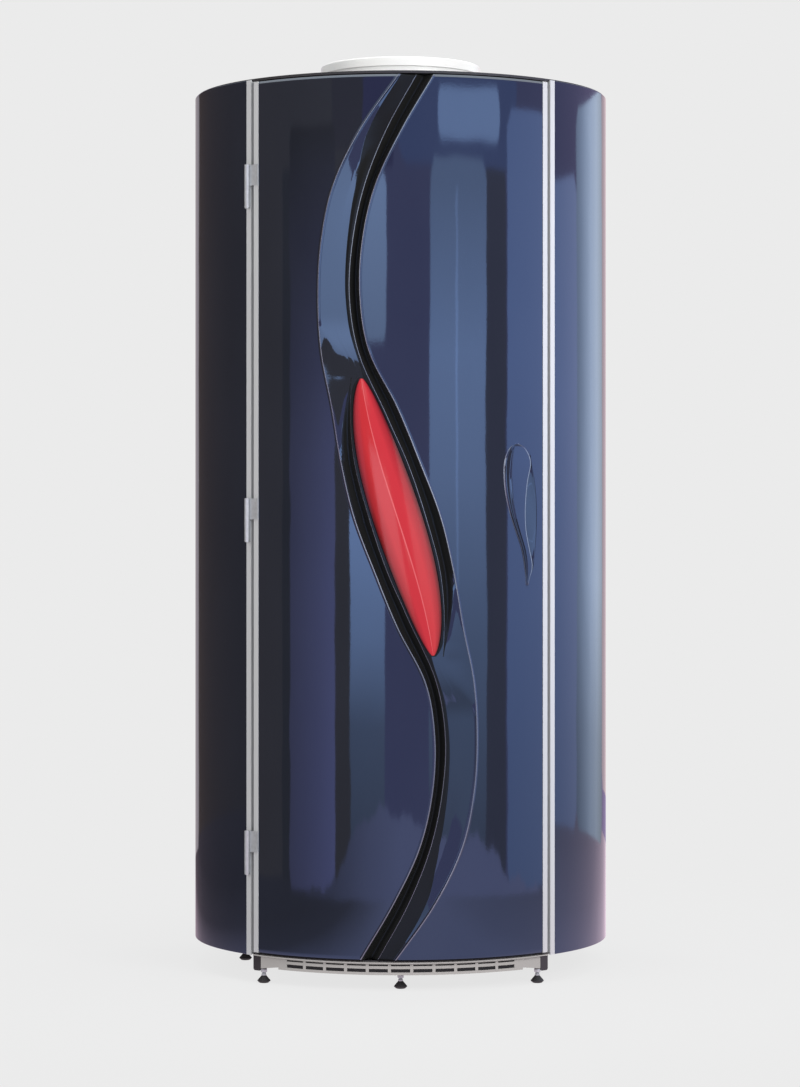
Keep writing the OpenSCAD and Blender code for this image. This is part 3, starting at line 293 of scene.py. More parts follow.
aim_level = 1.15


def lamp(name, azimuth, r, z, size, energy):
    """Soft area light aimed at the cabin's middle, out of the gloss."""
    data = bpy.data.lights.new(name, "AREA")
    data.shape = "RECTANGLE"
    data.size, data.size_y = size
    data.energy = energy
    obj = bpy.data.objects.new(name, data)
    obj.location = around(azimuth, r, z)
    aim = np.array([0.0, 0.0, aim_level]) - np.array(obj.location)
    yaw = math.atan2(aim[1], aim[0]) - math.pi / 2
    pitch = math.atan2(aim[2], math.hypot(aim[0], aim[1])) + math.pi / 2
    obj.rotation_euler = (pitch, 0.0, yaw)
    obj.visible_glossy = False
    bpy.context.scene.collection.objects.link(obj)


lamp("key", 35, 4.2, 2.6, (1.6, 2.2), 120)
lamp("fill", -50, 4.6, 1.8, (2.0, 2.4), 60)
lamp("back_right", 130, 4.2, 2.2, (1.4, 2.2), 60)
lamp("back_left", -140, 4.2, 2.2, (1.4, 2.2), 60)
lamp("top", 10, 0.8, 4.6, (2.4, 2.4), 55)

# Side and rear panels
# Rolled steel sheets in dark navy gloss enamel, lapped under the aluminium posts and
# standing a few millimetres clear of the roof tray. Their ends are hemmed round.
cabin_r, skin_t = 0.520, 0.004
door_half_a, post_gap_a, post_face_w = 42.9, 1.1, 0.0154
rear_post_a, skin_clear_a = 135, 0.05
hem_r, hem_points = 0.0016, 5
post_face_a = math.degrees(post_face_w / cabin_r)


def dark_gloss(name, colour, roughness=0.07):
    """Deep navy under a clear gloss: faint long waves and orange peel, in bump and colour."""
    mat, nodes, links, principled = shader(name)
    place = nodes.new("ShaderNodeTexCoord")
    stretch = set_inputs(nodes.new("ShaderNodeMapping"), {"Scale": (1.0, 1.0, 0.35)})
    waves = set_inputs(nodes.new("ShaderNodeTexNoise"), {"Scale": 7.0, "Detail": 2.0})
    peel = set_inputs(nodes.new("ShaderNodeTexNoise"), {"Scale": 260.0, "Detail": 2.0})
    wave_bump = set_inputs(nodes.new("ShaderNodeBump"), {"Strength": 0.35, "Distance": 0.0032})
    peel_bump = set_inputs(nodes.new("ShaderNodeBump"), {"Strength": 0.05, "Distance": 0.0004})
    pigment = nodes.new("ShaderNodeValToRGB")
    fill_ramp(pigment, [(0.3, [c * 0.92 for c in colour]), (0.7, [c * 1.08 for c in colour])])
    links.new(place.outputs["Object"], stretch.inputs["Vector"])
    links.new(stretch.outputs[0], waves.inputs["Vector"])
    links.new(place.outputs["Object"], peel.inputs["Vector"])
    links.new(waves.outputs["Fac"], wave_bump.inputs["Height"])
    links.new(peel.outputs["Fac"], peel_bump.inputs["Height"])
    links.new(wave_bump.outputs[0], peel_bump.inputs["Normal"])
    links.new(peel_bump.outputs[0], principled.inputs["Normal"])
    links.new(waves.outputs["Fac"], pigment.inputs["Fac"])
    links.new(pigment.outputs[0], principled.inputs["Base Color"])
    gloss = {"Roughness": roughness, "IOR": 1.6, "Specular IOR Level": 0.95}
    set_inputs(principled, {**gloss, "Specular Tint": (0.33, 0.55, 1.0, 1.0)})
    return mat


enamel = dark_gloss("navy_enamel", (0.015, 0.016, 0.022))


def rolled_panel(name, node, a0, a1):
    """Curved sheet: a flat loop with rounded corners carried round the axis, a degree a step."""
    low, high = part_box(node)
    outer, inner = cabin_r - hem_r, cabin_r - skin_t + hem_r
    r = np.array([outer, inner, inner, outer])[:, None]
    z = np.array([high.z - hem_r, high.z - hem_r, low.z + hem_r, low.z + hem_r])[:, None]
    turn = np.linspace(0, math.pi / 2, hem_points) + np.arange(4)[:, None] * math.pi / 2
    loop_r, loop_z = (r + hem_r * np.cos(turn)).ravel(), (z + hem_r * np.sin(turn)).ravel()
    azimuths = np.linspace(a0, a1, int(a1 - a0) + 1)
    points = around(azimuths[:, None], loop_r[None], loop_z[None])
    rows, n = points.shape[:2]
    faces = [list(f) for f in grid_faces(rows, n, closed=True)]
    faces.append(list(range(n)))
    faces.append([(rows - 1) * n + k for k in range(n - 1, -1, -1)])
    panel = mesh_object(name, points.reshape(-1, 3), faces)
    panel.data.materials.append(enamel)
    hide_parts(node)
    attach(panel, "cabin")


side_a0 = door_half_a + post_gap_a + post_face_a + skin_clear_a
side_a1 = rear_post_a - post_face_a / 2 - skin_clear_a
rolled_panel("panel_right", "side_skin_right", side_a0, side_a1)
rolled_panel("panel_left", "side_skin_left", -side_a1, -side_a0)
rolled_panel("panel_rear", "rear_skin", 270 - side_a1, 90 + side_a1)

# Door moulding
# One laminated navy shell. A swept ribbon crosses it in an S, with a spindle pocket
# in its middle and a deep channel beside each tail, and the handle is moulded in.
mm = 0.001
drum_r, stile_w, stile_clear_a = 520.0, 15.4, 0.03
door_mid, door_half = 1124.0, 1050.0
shell_wall, painted_highlight_level = 4.0, 1044.0
relief_shift = -8.0
channel_depth, channel_slope = 22.0, 0.52
wing_depth, lip_rise, bead_h, ledge_depth = 10.0, 4.5, 2.5, 3.0
lens_half_h, lens_half_w, lens_seat, lens_gap = 331.0, 61.0, 6.0, 0.4
seat_run, tail_width, tail_end = 33.0, 36.5, 0.99 * lens_half_h
eighth = door_half / 8
door_arc = math.radians(door_half_a - stile_clear_a) * drum_r - stile_w


def mix(a, b, t):
    """Value a share t of the way from a to b."""
    return a + (b - a) * t


def smooth(t):
    """Ease from 0 to 1: three t squared less two t cubed."""
    c = np.clip(t, 0.0, 1.0)
    return c * c * (3 - 2 * c)


def curve(table, t, below=None):
    """Smooth curve through a table's values at t = 0, 1, 2, given the value at t = -1."""
    table = np.asarray(table, float)
    first = table[1] if below is None else below
    knots = np.concatenate([[first], table, [2 * table[-1] - table[-2]]])
    i = np.clip(np.floor(t).astype(int), 0, len(table) - 2)
    u = t - i
    p0, p1, p2, p3 = knots[i], knots[i + 1], knots[i + 2], knots[i + 3]
    cubic = (2 * p0 - 5 * p1 + 4 * p2 - p3) * u * u + (3 * p1 - p0 - 3 * p2 + p3) * u**3
    return 0.5 * (2 * p1 + (p2 - p0) * u + cubic)


# The ribbon's middle line, its half width and its lip, in mm of arc from the door's
# middle line, at each eighth of the way up from the middle of the door to its top.
ribbon_centre = [0, -41, -79.5, -126, -141, -134, -103.5, -39.5, 45.5]
ribbon_half = [103, 94, 78.5, 59, 52, 51, 51.5, 49.5, 41.5]
upper_lip = [68, 23, -37, -95, -117, -109, -80, -27, 46]
lower_lip = [68, 103, 113, 104]
# Where the wing's hollow ends, and the painted shade from there to the lip begins: heights, and
# shares of the way from the lip to the bead.
dish_levels = [480.0, 600.0, 700.0, 780.0, 840.0, 900.0, 980.0, 1050.0]
dish_shares = [0.12, 0.15, 0.20, 0.27, 0.42, 0.64, 0.80, 0.88]


def lens_w(z):
    """Half width of the spindle: a power of the parabola that ends at its tips."""
    part = np.maximum(0.0, 1 - (z / lens_half_h) ** 2)
    return np.maximum(2.6, lens_half_w * part**0.65)


def lens_c(z):
    """Centre line of the leaning spindle, curled a little at the tips."""
    t = np.minimum(1.0, np.abs(z) / lens_half_h)
    return -z * (0.32 - 0.06 * t * t)


tip_fade = 0.45 * lens_half_h


def wing(z):
    """How far the plain wing above the lens has sunk, from 0 to 1."""
    return smooth((z - 0.95 * lens_half_h) / tip_fade)


def groove(width):
    """Depth of a steep V groove: about half its width, up to the deepest."""
    return -np.minimum(channel_depth, channel_slope * width)


def section_of(points):
    """Array of rows, points and values, from a list of points with a column for each value."""
    return np.stack([np.stack(p, axis=-1) for p in points], axis=1)


# The bead's section: arc from its crest, and share of its height.
bead = ((-7.5, 0.0), (-6.0, 0.0), (-1.6, 0.88), (0.0, 1.0), (1.0, 0.84))
lens_margin, ledge_w, shoulder, bead_run, far_left = 6.0, 1.2, 0.24, 1.5, -520.0
hollow_from, hollow_run, hollow_at, hollow_share = 640.0, 220.0, 0.55, 0.82


def ribbon_upper(z):
    """Rows of [arc, height] across the ribbon at heights z over the door's middle.

    A row runs from the left bead over the tail's groove, the lens's seat, the lip and
    the channel to the right bead. Past the lens's tip the first three are one dished wing.
    """
    flat = 0 * z
    middle = curve(ribbon_centre, z / eighth, -ribbon_centre[1])
    a, b = middle - curve(ribbon_half, z / eighth), middle + curve(ribbon_half, z / eighth)
    left, right = lens_c(z) - lens_w(z), lens_c(z) + lens_w(z)
    in_lens = np.where(z < lens_half_h, 1.0, 1 - smooth((z - lens_half_h) / tip_fade))
    lip_line = curve(upper_lip, z / eighth, lower_lip[1])
    lip = np.maximum(lip_line, np.where(z < lens_half_h, right + lens_margin, far_left))
    tail = np.maximum(0.0, 1 - (z / tail_end) ** 2) ** 1.1
    tail_line = -curve(lower_lip, np.minimum(z, lens_half_h) / eighth, upper_lip[1])
    tail_in = np.minimum(tail_line, left - lens_margin)
    tail_out = np.maximum(a + bead_run, tail_in - np.hypot(2.5, tail_width * tail))
    apart = smooth((tail_out - a - bead_run) / 8)
    land = -ledge_depth * (1 - wing(z))
    tail_h = mix(land, np.minimum(land, groove(tail_in - tail_out)), smooth(2.4 * tail))
    tail_fade = smooth((z / tail_end - 0.3) / 0.75)
    hollow = smooth((z - hollow_from) / hollow_run)
    seat_h = land - lens_seat * smooth((lens_half_h - z) / seat_run)
    lip_h = land - (wing_depth - lip_rise) * wing(z)
    chan_h = np.maximum(-channel_depth, groove(b - lip) + lip_h - land)
    run = (b - lip) * shoulder
    edge = mix(mix(tail_out, tail_in, shoulder), tail_out, apart)
    dish = lip - (lip - a) * np.interp(z, dish_levels, dish_shares)
    border = 7.0 * np.sqrt(np.clip((lens_half_h + 4.0 - z) / 30.0, 0.0, 1.0))

    def sink(s):
        """Height of the wing at an arc: down to its hollow, then up a little to the lip."""
        u = (s - a) / (lip - a)
        rising = hollow_share - 0.12 * ((u - hollow_at) / 0.33) ** 2
        hollowed = np.where(u < hollow_at, hollow_share * u / hollow_at, rising)
        depth = mix(u * (1.5 - 0.5 * u), hollowed, hollow)
        return land * smooth(u) - wing_depth * wing(z) * depth

    def spread(k):
        """Arc of point k of eleven, spread evenly from the left bead to the dish's line."""
        return a + 5 + (dish - a - 5) * k / 10

    def across(k, s, h):
        """Point k of the eleven that span the lens below and the wing above."""
        return mix(spread(k), s, in_lens), mix(sink(spread(k)), h, in_lens)

    points = [(a + ds, bead_h * share + flat) for ds, share in bead]
    points += [
        across(0, edge, mix(tail_h * 0.5 * (1 - apart), land, tail_fade)),
        across(1, mix(tail_out, tail_in, 0.5), tail_h),
        across(2, mix(tail_out, tail_in, 0.76), mix(land, tail_h, 0.5)),
        across(3, mix(tail_out, tail_in, 0.97), mix(land, tail_h, 0.04)),
        across(4, tail_in, land),
        across(5, np.maximum(tail_in + 1.5, left - lens_gap - ledge_w - border), land),
        across(6, left - lens_gap - ledge_w, land),
        across(7, left - lens_gap, seat_h),
        across(8, lens_c(z), seat_h),
        across(9, right + lens_gap, seat_h),
        across(10, right + lens_gap + ledge_w, land),
        (lip - mix(1.5, 6.0, wing(z)), lip_h - 0.15 * wing(z)),
        (lip, lip_h),
        (lip + 1.1, lip_h - 0.5),
        (lip + run, mix(lip_h, chan_h, 0.5)),
        (mix(lip, b, 0.5), chan_h),
        (b - run, chan_h * 0.5),
    ]
    points += [(b - ds, bead_h * share + flat) for ds, share in reversed(bead)]
    return section_of(points)


def ribbon(z):
    """The ribbon at any height: below the middle it is the upper half turned round."""
    upper = ribbon_upper(np.abs(z))
    lower = upper[:, ::-1] * np.array([-1.0, 1.0])
    return np.where((z >= 0)[:, None, None], upper, lower) + np.array([relief_shift, 0.0])


grip_z, grip_h, grip_rise, grip_fade, pocket_depth = 6.0, 335.0, 10.0, 150.0, 17.0
# The grip's outer edge, its lip and the pocket's edge, in mm of arc from the door's edge,
# at each eighth of the grip's height.
grip_outer = [52, 57, 65, 82, 99, 111, 117, 117, 112]
grip_lip = [48, 38, 48, 58, 61, 59, 53, 42, 46]
grip_pocket = [44, 29, 23, 18, 16, 18, 25, 35, 40]


def bulge(v):
    """Rounded hump from -1 to 1: one less the cube, to the power 0.6."""
    return np.maximum(0.0, 1 - np.abs(v) ** 3) ** 0.6


def handle_side(z, start):
    """Right of the ribbon: the swelling grip, its lip and the finger pocket.

    Each edge is a smooth curve through its table. Well above and below the grip the
    points spread evenly from the ribbon to the door's edge.
    """
    flat = 0 * z
    v = (z - grip_z) / (grip_h / 2)
    t = np.clip(4 * (v + 1), 0, 8)
    top = np.clip((v - 0.6) / 0.4, 0, 1)
    full = (curve(grip_outer, t) - curve(grip_lip, t)) / 2
    half = np.maximum(4.0, full * (1 - top**2.6) ** (1 / 2.6))
    middle = door_arc - (curve(grip_outer, t) + curve(grip_lip, t)) / 2
    o, lip = middle - half, middle + half
    p = np.maximum(lip + 6, door_arc - curve(grip_pocket, t))
    away = smooth((np.abs(z - grip_z) - grip_h / 2) / grip_fade)
    rise, dip, body = grip_rise * bulge(v), -pocket_depth * bulge(v / 0.84), lip - o
    points = [(mix(start, o, k), flat) for k in (0.2, 0.4, 0.6, 0.8)]
    points += [
        (o - 1.2, flat),
        (o, flat),
        (o + body * 0.07, rise * 0.5),
        (o + body * 0.2, rise * 0.58),
        (o + body * 0.28, rise * 0.96),
        (lip - np.minimum(2.5, body * 0.15), rise),
        (lip, rise * 0.9),
        (lip + 1.6, dip),
        (mix(lip, p, 0.4), dip * 0.62),
        (mix(lip, p, 0.75), dip * 0.26),
        (p, flat),
        (p + 1.2, flat),
        (mix(p, door_arc, 0.5), flat),
    ]
    n = len(points)
    even = [mix(start, door_arc, (i + 1) / (n + 1)) for i in range(n)]
    return section_of([(mix(s, e, away), h) for e, (s, h) in zip(even, points)])


plain_points, edge_run, edge_drop = 7, 8.0, 3.0


def door_section(z):
    """Whole section, edge to edge, with the top and bottom edges eased back."""
    flat = 0 * z
    middle = ribbon(z)
    shares = [i / plain_points for i in range(plain_points)]
    left = section_of([(mix(-door_arc, middle[:, 0, 0], share), flat) for share in shares])
    right = handle_side(z, middle[:, -1, 0])
    end = section_of([(door_arc + flat, flat)])
    section = np.concatenate([left, middle, right, end], axis=1)
    near_edge = np.maximum(0.0, 1 - (door_half - np.abs(z)) / edge_run)
    section[:, :, 1] -= edge_drop * (near_edge**2)[:, None]
    return section


def finer(section, steps):
    """Monotone cubic through each row's points as [arc, height, slope], in steps per span.

    The slope at a point is the harmonic mean of its neighbours' slopes, or 0 at a crest.
    """
    s, h = section[..., 0], section[..., 1]
    ds = np.maximum(np.diff(s, axis=1), 1e-6)
    slope = np.diff(h, axis=1) / ds
    before, after = slope[:, :-1], slope[:, 1:]
    same = before * after > 0
    product = np.where(same, before * after, 0.0)
    total = np.where(same, before + after, 1.0)
    m = np.concatenate([slope[:, :1], 2 * product / total, slope[:, -1:]], axis=1)
    points = []
    for k, n in enumerate(steps):
        width, h0, h1, m0, m1 = ds[:, k], h[:, k], h[:, k + 1], m[:, k], m[:, k + 1]
        for u in np.arange(n) / n:
            h00, h10 = 2 * u**3 - 3 * u**2 + 1, u**3 - 2 * u**2 + u
            h01, h11 = -2 * u**3 + 3 * u**2, u**3 - u**2
            height = h00 * h0 + h10 * width * m0 + h01 * h1 + h11 * width * m1
            ends = (1 - u) * (1 - 3 * u) * m0 + u * (3 * u - 2) * m1
            points.append((s[:, k] + width * u, height, 6 * u * (1 - u) * slope[:, k] + ends))
    points.append((s[:, -1], h[:, -1], m[:, -1]))
    return section_of(points)


def sheet(front, back):
    """Closed shell from two grids of points with the same rows and columns."""
    rows, cols = front.shape[:2]
    half = rows * cols
    index = np.arange(half).reshape(rows, cols)
    rim = np.concatenate([index[0], index[1:, -1], index[-1, -2::-1], index[-2:0:-1, 0]])
    after = np.roll(rim, -1)
    sides = np.stack([rim, rim + half, after + half, after], axis=-1)
    verts = np.concatenate([front.reshape(-1, 3), back.reshape(-1, 3)])
    faces = np.concatenate([grid_faces(rows, cols), grid_faces(rows, cols, half, flip=True), sides])
    return verts, faces


def on_cabin(s, h, z):
    """Point at an arc length, a height over the cabin's cylinder and a level, in mm."""
    return around(np.degrees(s / drum_r), (drum_r + h) * mm, (door_mid + z) * mm)


def both_ways(distances, about=0.0):
    """Levels at the given distances below and above a level."""
    return np.concatenate([about - distances, about + distances])


main_rows = np.arange(-1040.0, 1041.0, 10.4)
tip_rows = both_ways(lens_half_h + np.arange(-30.0, 8.0, 3.0))
grip_rows = both_ways(grip_h / 2 - np.array([0.3, 1, 2, 4, 7, 11, 16]), grip_z)
edge_rows = both_ways(np.array([1050.0, 1048.5, 1046.5, 1044.5, 1042.0]))
rows = np.sort(np.concatenate([main_rows, tip_rows, grip_rows, edge_rows]))
rows = rows[np.concatenate([[True], np.diff(rows) > 0.25])]
controls = door_section(rows)
half_steps = [1, 3, 2, 2, 4, 5, 5, 4, 2, 2, 2, 2, 5]
handle_steps = [1, 4, 4, 4, 4, 3, 3, 5, 5, 5, 2, 2, 2]
steps = [2] * 6 + [4] + half_steps + half_steps[::-1] + [2] * 4 + handle_steps
front = finer(controls, steps)
z_grid = np.repeat(rows[:, None], front.shape[1], axis=1)
outside = on_cabin(front[..., 0], front[..., 1], z_grid)
inside = on_cabin(front[..., 0], front[..., 1] - shell_wall, z_grid)
verts, faces = sheet(outside, inside)
gelcoat = dark_gloss("navy_gelcoat", (0.015, 0.016, 0.022), roughness=0.05)
# A near-black, dull copy of the gelcoat is painted shade: it darkens the deep channels, the tail
# grooves, the lens seat and the wing's hollow.
recess_painted_shade = dark_gloss("recess_painted_shade", (0.011, 0.011, 0.011), roughness=0.18)
set_inputs(recess_painted_shade.node_tree.nodes["Principled BSDF"], {"Specular IOR Level": 0.12})
moulding = mesh_object("door_moulding", verts, faces)

# Its exact normals: radial, less each slope times that slope's own direction. The rim
# keeps the flat normals of its faces.
along_s = front[..., 2]
slant = np.gradient(front[..., 0], rows, axis=0)
along_z = np.gradient(front[..., 1], rows, axis=0) - along_s * slant
out, up = around(np.degrees(front[..., 0] / drum_r), 1.0, 0.0), np.array([0.0, 0.0, 1.0])
normal = out - along_s[..., None] * np.cross(up, out) - along_z[..., None] * up
normal = (normal / np.linalg.norm(normal, axis=-1, keepdims=True)).reshape(-1, 3)
mesh = moulding.data
corner = np.empty(len(mesh.loops), np.int32)
mesh.loops.foreach_get("vertex_index", corner)
sheet_faces = 2 * (front.shape[0] - 1) * (front.shape[1] - 1)
face_normals = np.empty(len(mesh.polygons) * 3, np.float32)
mesh.polygons.foreach_get("normal", face_normals)
rim_normals = face_normals.reshape(-1, 3)[sheet_faces:]
loop_normals = np.concatenate([normal, -normal])[corner]
loop_normals[4 * sheet_faces :] = np.repeat(rim_normals, 4, axis=0)
mesh.normals_split_custom_set(loop_normals.tolist())

# Painted highlight: a lighter navy with a stronger, whiter gloss on the beads, the lips, the grip's
# rim and the door's top rows, so they read as bright lines.
edge_painted_highlight = dark_gloss("edge_painted_highlight", (0.030, 0.034, 0.048), roughness=0.20)
painted_highlight_look = {"IOR": 2.1, "Specular Tint": (0.80, 0.90, 1.0, 1.0)}
set_inputs(edge_painted_highlight.node_tree.nodes["Principled BSDF"], painted_highlight_look)
for mat in (gelcoat, recess_painted_shade, edge_painted_highlight):
    moulding.data.materials.append(mat)
painted_shade_slot, painted_highlight_slot = 1, 2


def between(line0, line1):
    """Cells of the front whose middle lies between two lines of arc positions."""
    middle = (front[:-1, :-1, 0] + front[1:, 1:, 0]) / 2
    low, high = np.minimum(line0, line1), np.maximum(line0, line1)
    past_low = middle > (low[:-1] + low[1:])[:, None] / 2
    return past_low & (middle < (high[:-1] + high[1:])[:, None] / 2)


# A line is one point of the section followed up the door, counted from the ribbon's
# middle outwards, with the lower half of the ribbon counted the other way round.
level = ((rows[:-1] + rows[1:]) / 2)[:, None]
slots = np.zeros((len(rows) - 1, front.shape[1] - 1), np.int32)
ribbon_reach = 13
ribbon_mid = plain_points + ribbon_reach
grip_first = ribbon_mid + ribbon_reach + 5
in_tail, in_seat = np.abs(level) < tail_end + 4, np.abs(level) < lens_half_h
past_seat = np.abs(level) < 0.82 * lens_half_h
# Painted shade goes on the channel, the tail groove, the lens seat, the land beside the tail and
# the lens, and the wing from the dish's line to the lip; painted highlight goes on the lip, the
# beads and the tail's lip.
for side in (1, -1):
    offsets = range(-ribbon_reach, ribbon_reach + 1)
    line = {k: controls[:, ribbon_mid + side * k, 0] for k in offsets}
    tail_outer = side * np.maximum(side * line[-9], side * (2 * line[-7] - line[-4]))
    here = side * level >= 0
    slots[here & between(line[5], line[9])] = painted_shade_slot
    slots[here & in_tail & between(tail_outer, line[-5])] = painted_shade_slot
    slots[here & in_seat & between(line[-3], line[2])] = painted_shade_slot
    slots[here & past_seat & between(line[-4], line[-3])] = painted_shade_slot
    slots[here & between(line[2], line[4])] = painted_shade_slot
    beads = between(line[9], line[11]) | between(line[-11], line[-9])
    slots[here & (between(line[4], line[5]) | beads)] = painted_highlight_slot
    slots[here & in_tail & between(line[-5], line[-4])] = painted_highlight_slot
grip_line = {k: controls[:, grip_first + k, 0] for k in range(8)}
on_grip = (np.abs(rows - grip_z) < grip_h / 2)[:-1, None]
grip_rim = between(grip_line[1], mix(grip_line[1], grip_line[2], 0.5))
grip_rim = grip_rim | between(grip_line[5], grip_line[6])
# Above this level the door's top rows take the painted highlight along the top edge, and so does
# the grip's rim.
slots[(level > painted_highlight_level) & (slots == 0)] = painted_highlight_slot
slots[on_grip & grip_rim] = painted_highlight_slot
all_slots = np.zeros(len(moulding.data.polygons), np.int32)
all_slots[: slots.size] = slots.ravel()
moulding.data.polygons.foreach_set("material_index", all_slots)
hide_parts("door_skin")
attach(moulding, "door")

# Lens
# A spindle of clear-cast red acrylic, crowned across and with a soft ridge down its
# middle. It is polished all over and bonded into the pocket in the ribbon.
lens_clear, lens_proud, crown_h, crease = 0.6, 0.6, 8.0, 0.0002
lens_rows, lens_end = 97, 0.992 * lens_half_h
levels = -lens_end * np.cos(np.linspace(0, math.pi, lens_rows))
near_ridge = [0.01, 0.02, 0.035, 0.06, 0.1, 0.16, 0.23, 0.31, 0.39, 0.47]
near_rim = [0.55, 0.63, 0.7, 0.77, 0.83, 0.88, 0.92, 0.955, 0.98, 1.0]
half_across = np.array(near_ridge + near_rim)
across = np.concatenate([-half_across[::-1], [0.0], half_across])
lens_z = np.repeat(levels[:, None], len(across), axis=1)
reach = (lens_w(levels) - lens_clear)[:, None]
lens_s = relief_shift + lens_c(levels)[:, None] + across[None] * reach
ridged = 0.6 * (1 - across**2) + 0.4 * (1 - np.sqrt(across**2 + crease))
crown = crown_h * (lens_w(levels) / lens_half_w)[:, None] * ridged[None]
crown = lens_proud - ledge_depth + crown
bed_z = lens_half_h - 6 - np.abs(lens_z)
bed = lens_gap - ledge_depth - lens_seat * smooth(bed_z / seat_run)
verts, faces = sheet(on_cabin(lens_s, crown, lens_z), on_cabin(lens_s, bed, lens_z))
lens = mesh_object("lens", verts, faces)
rim = lens.data.attributes.new("rim", "FLOAT", "POINT")
rim.data.foreach_set("value", np.tile(np.abs(across), 2 * len(levels)).astype(np.float32))
mat, nodes, links, principled = shader("red_acrylic")
where = nodes.new("ShaderNodeAttribute")
where.attribute_name = "rim"
# The rim attribute drives painted light in the colour: a paler line down the ridge is a painted
# highlight, and the red darkens from the middle to a near-black rim as painted shade from the dark
# pocket round it.
depth = nodes.new("ShaderNodeValToRGB")
ridge_painted_highlight, clear_red = (0.62, 0.12, 0.13), (0.46, 0.024, 0.032)
shaded_red, rim_painted_shade = (0.30, 0.014, 0.020), (0.07, 0.003, 0.004)
reds = [(0.0, ridge_painted_highlight), (0.04, clear_red), (0.45, clear_red), (0.8, shaded_red), (0.98, rim_painted_shade)]
fill_ramp(depth, reds)
links.new(where.outputs["Fac"], depth.inputs["Fac"])
links.new(depth.outputs[0], principled.inputs["Base Color"])
set_inputs(principled, {"Roughness": 0.12, "IOR": 1.49, "Specular IOR Level": 0.35})
lens.data.materials.append(mat)
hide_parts("door_lens")
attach(lens, "door")

# Plain finishes of the carried pieces
# Each CAD piece takes the finish of its stock: anodised extrusions, zinc plate,
# powder coat, moulded plastic, glass, rubber and lacquered iron.


def speckled(name, colour, roughness, metallic, scale, bump, spread, stretch=(1, 1, 1)):
    """Base finish with fine grain in colour, roughness and bump."""
    mat, nodes, links, principled = shader(name)
    place = nodes.new("ShaderNodeTexCoord")
    turn = set_inputs(nodes.new("ShaderNodeMapping"), {"Scale": stretch})
    grain = set_inputs(nodes.new("ShaderNodeTexNoise"), {"Scale": scale, "Detail": 4.0})
    tone = nodes.new("ShaderNodeValToRGB")
    dark = [c * (1 - spread) for c in colour]
    light = [min(1.0, c * (1 + spread)) for c in colour]
    fill_ramp(tone, [(0.3, dark), (0.7, light)])
    sheen = nodes.new("ShaderNodeMapRange")
    set_inputs(sheen, {"To Min": roughness * 0.85, "To Max": roughness * 1.15})
    raised = set_inputs(nodes.new("ShaderNodeBump"), {"Strength": bump, "Distance": 0.0004})
    links.new(place.outputs["Object"], turn.inputs["Vector"])
    links.new(turn.outputs[0], grain.inputs["Vector"])
    links.new(grain.outputs["Fac"], tone.inputs["Fac"])
    links.new(grain.outputs["Fac"], sheen.inputs["Value"])
    links.new(grain.outputs["Fac"], raised.inputs["Height"])
    links.new(tone.outputs[0], principled.inputs["Base Color"])
    links.new(sheen.outputs[0], principled.inputs["Roughness"])
    links.new(raised.outputs[0], principled.inputs["Normal"])
    set_inputs(principled, {"Metallic": metallic})
    return mat


# Each row: colour, roughness, metal, grain per metre, bump, colour spread, grain's stretch
stock = {
    "satin_aluminium": ((0.55, 0.56, 0.57), 0.34, 0.25, 300, 0.06, 0.03, (1, 1, 0.02)),
    "polished_aluminium": ((0.80, 0.81, 0.82), 0.16, 0.85, 60, 0.03, 0.02, (1, 1, 0.02)),
    "zinc_steel": ((0.46, 0.48, 0.50), 0.38, 0.45, 120, 0.08, 0.10),
    "black_steel": ((0.025, 0.025, 0.028), 0.45, 0.0, 900, 0.25, 0.15),
    "warm_grey_enamel": ((0.36, 0.345, 0.33), 0.35, 0.0, 500, 0.08, 0.03),
    "white_enamel": ((0.80, 0.80, 0.78), 0.30, 0.0, 500, 0.05, 0.02),
    "white_plastic": ((0.78, 0.78, 0.76), 0.45, 0.0, 900, 0.12, 0.02),
    "black_plastic": ((0.020, 0.020, 0.022), 0.40, 0.0, 900, 0.15, 0.15),
    "lamp_glass": ((0.80, 0.82, 0.90), 0.25, 0.0, 200, 0.02, 0.02),
    "lamp_cap": ((0.70, 0.71, 0.73), 0.30, 1.0, 300, 0.06, 0.05),
    "rubber": ((0.020, 0.020, 0.020), 0.70, 0.0, 700, 0.3, 0.2),
    "filter_felt": ((0.012, 0.012, 0.013), 0.95, 0.0, 900, 0.6, 0.3),
    "iron_core": ((0.045, 0.045, 0.050), 0.45, 0.4, 500, 0.2, 0.2, (1, 1, 8)),
    "green_button": ((0.02, 0.22, 0.05), 0.25, 0.0, 300, 0.03, 0.05),
}
finishes = {name: speckled(name, *values) for name, values in stock.items()}
finishes["navy_enamel"] = enamel
finishes["navy_gelcoat"] = gelcoat
finishes["red_lens"] = lens.data.materials[0]
grey_seal = speckled("grey_seal", (0.16, 0.16, 0.165), 0.6, 0.0, 700, 0.2, 0.1)

for row in frame["record"]["subparts"]:
    for held in frame["nodes"][row["node"]].material_slots:
        held.material = finishes[row["material_slot"]]
for held in frame["nodes"]["jamb_seals"].material_slots:
    held.material = grey_seal

# Levelling feet
# Each is a rubber pad moulded round a swivel collar, with a threaded zinc stud above
# it and a chamfered lock nut on the thread.
foot_turns = 48
core_r, thread_r, root_r, thread_pitch = 0.4, 4.95, 4.35, 1.5
thread_from, thread_end = 21.5, 1.6
nut_half_flats = 7.5
pad_profile = [(core_r, 0.0), (10.3, 0.0), (11.3, 0.4), (15.3, 4.0), (15.9, 4.9), (15.8, 5.7)]
pad_profile += [(15.2, 6.5), (11.0, 11.4), (7.2, 15.9), (6.3, 17.2), (5.5, 17.9), (core_r, 17.9)]
collar_profile = [(core_r, 17.6), (5.6, 17.6), (6.0, 18.0), (6.0, 20.2), (5.6, 20.7), (4.4, 21.0)]
nut_profile = [(4.2, 25.5), (7.2, 25.5), (8.5, 26.5), (8.5, 32.7), (7.2, 33.7), (4.2, 33.7)]


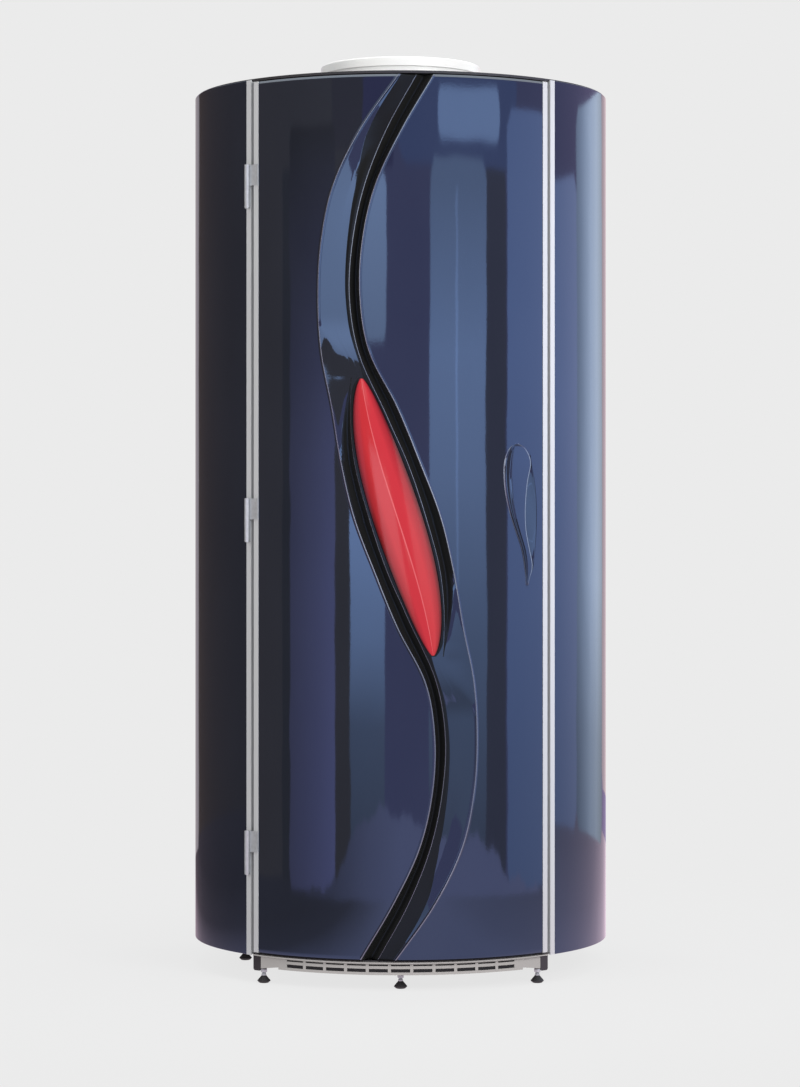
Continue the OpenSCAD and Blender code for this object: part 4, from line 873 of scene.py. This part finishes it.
def turned(profile, x, y, ring):
    """Profile of [radius, level] in mm turned round an upright line: a ring, or a capped solid."""
    turn = np.linspace(0, 2 * math.pi, foot_turns, endpoint=False)
    r, z = np.array(profile, float).T[:, :, None] * mm
    points = np.stack([x + r * np.cos(turn), y + r * np.sin(turn), z + 0 * turn], axis=-1)
    points = points.reshape(-1, 3)
    rows = len(profile)
    sides = grid_faces(rows + 1 if ring else rows, foot_turns, closed=True) % len(points)
    faces = [list(f) for f in sides]
    if not ring:
        bottom = list(range(foot_turns))
        faces += [bottom[::-1], [(rows - 1) * foot_turns + k for k in bottom]]
    return points, faces


def hexagonal(points, x, y):
    """Round points drawn in to a hexagon: no further out than its flats in their direction."""
    from_axis = points[:, :2] - (x, y)
    bearing = np.arctan2(from_axis[:, 1], from_axis[:, 0])
    flat = nut_half_flats * mm / np.cos((bearing + math.pi / 6) % (math.pi / 3) - math.pi / 6)
    shrink = np.minimum(1.0, flat / np.hypot(*from_axis.T))
    points[:, :2] = (x, y) + from_axis * shrink[:, None]
    return points


def levelling_foot(node, body):
    """Pad, collar, stud with thread ridges a pitch apart and hexagon nut, as one piece."""
    low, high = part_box(node)
    x, y, top = (low.x + high.x) / 2, (low.y + high.y) / 2, high.z / mm
    ridges = np.arange(thread_from, top - thread_end, thread_pitch)
    thread = [p for z in ridges for p in ((thread_r, z), (root_r, z + thread_pitch / 2))]
    stud_profile = collar_profile + thread + [(4.9, top), (core_r, top)]
    verts, faces, finish = [], [], []
    for profile, slot in ((pad_profile, 0), (stud_profile, 1), (nut_profile, 1)):
        is_nut = profile is nut_profile
        points, sides = turned(profile, x, y, ring=is_nut)
        start = sum(len(v) for v in verts)
        faces += [[start + k for k in side] for side in sides]
        finish += [slot] * len(sides)
        verts.append(hexagonal(points, x, y) if is_nut else points)
    piece = mesh_object(node + "_turned", np.concatenate(verts), faces, crease=35)
    for held in ("rubber", "zinc_steel"):
        piece.data.materials.append(finishes[held])
    piece.data.polygons.foreach_set("material_index", finish)
    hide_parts(node)
    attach(piece, body)


for place in ("front_left", "front_centre", "front_right", "rear_left", "rear_right", "hinge_side"):
    levelling_foot("foot_" + place, place + "_foot")
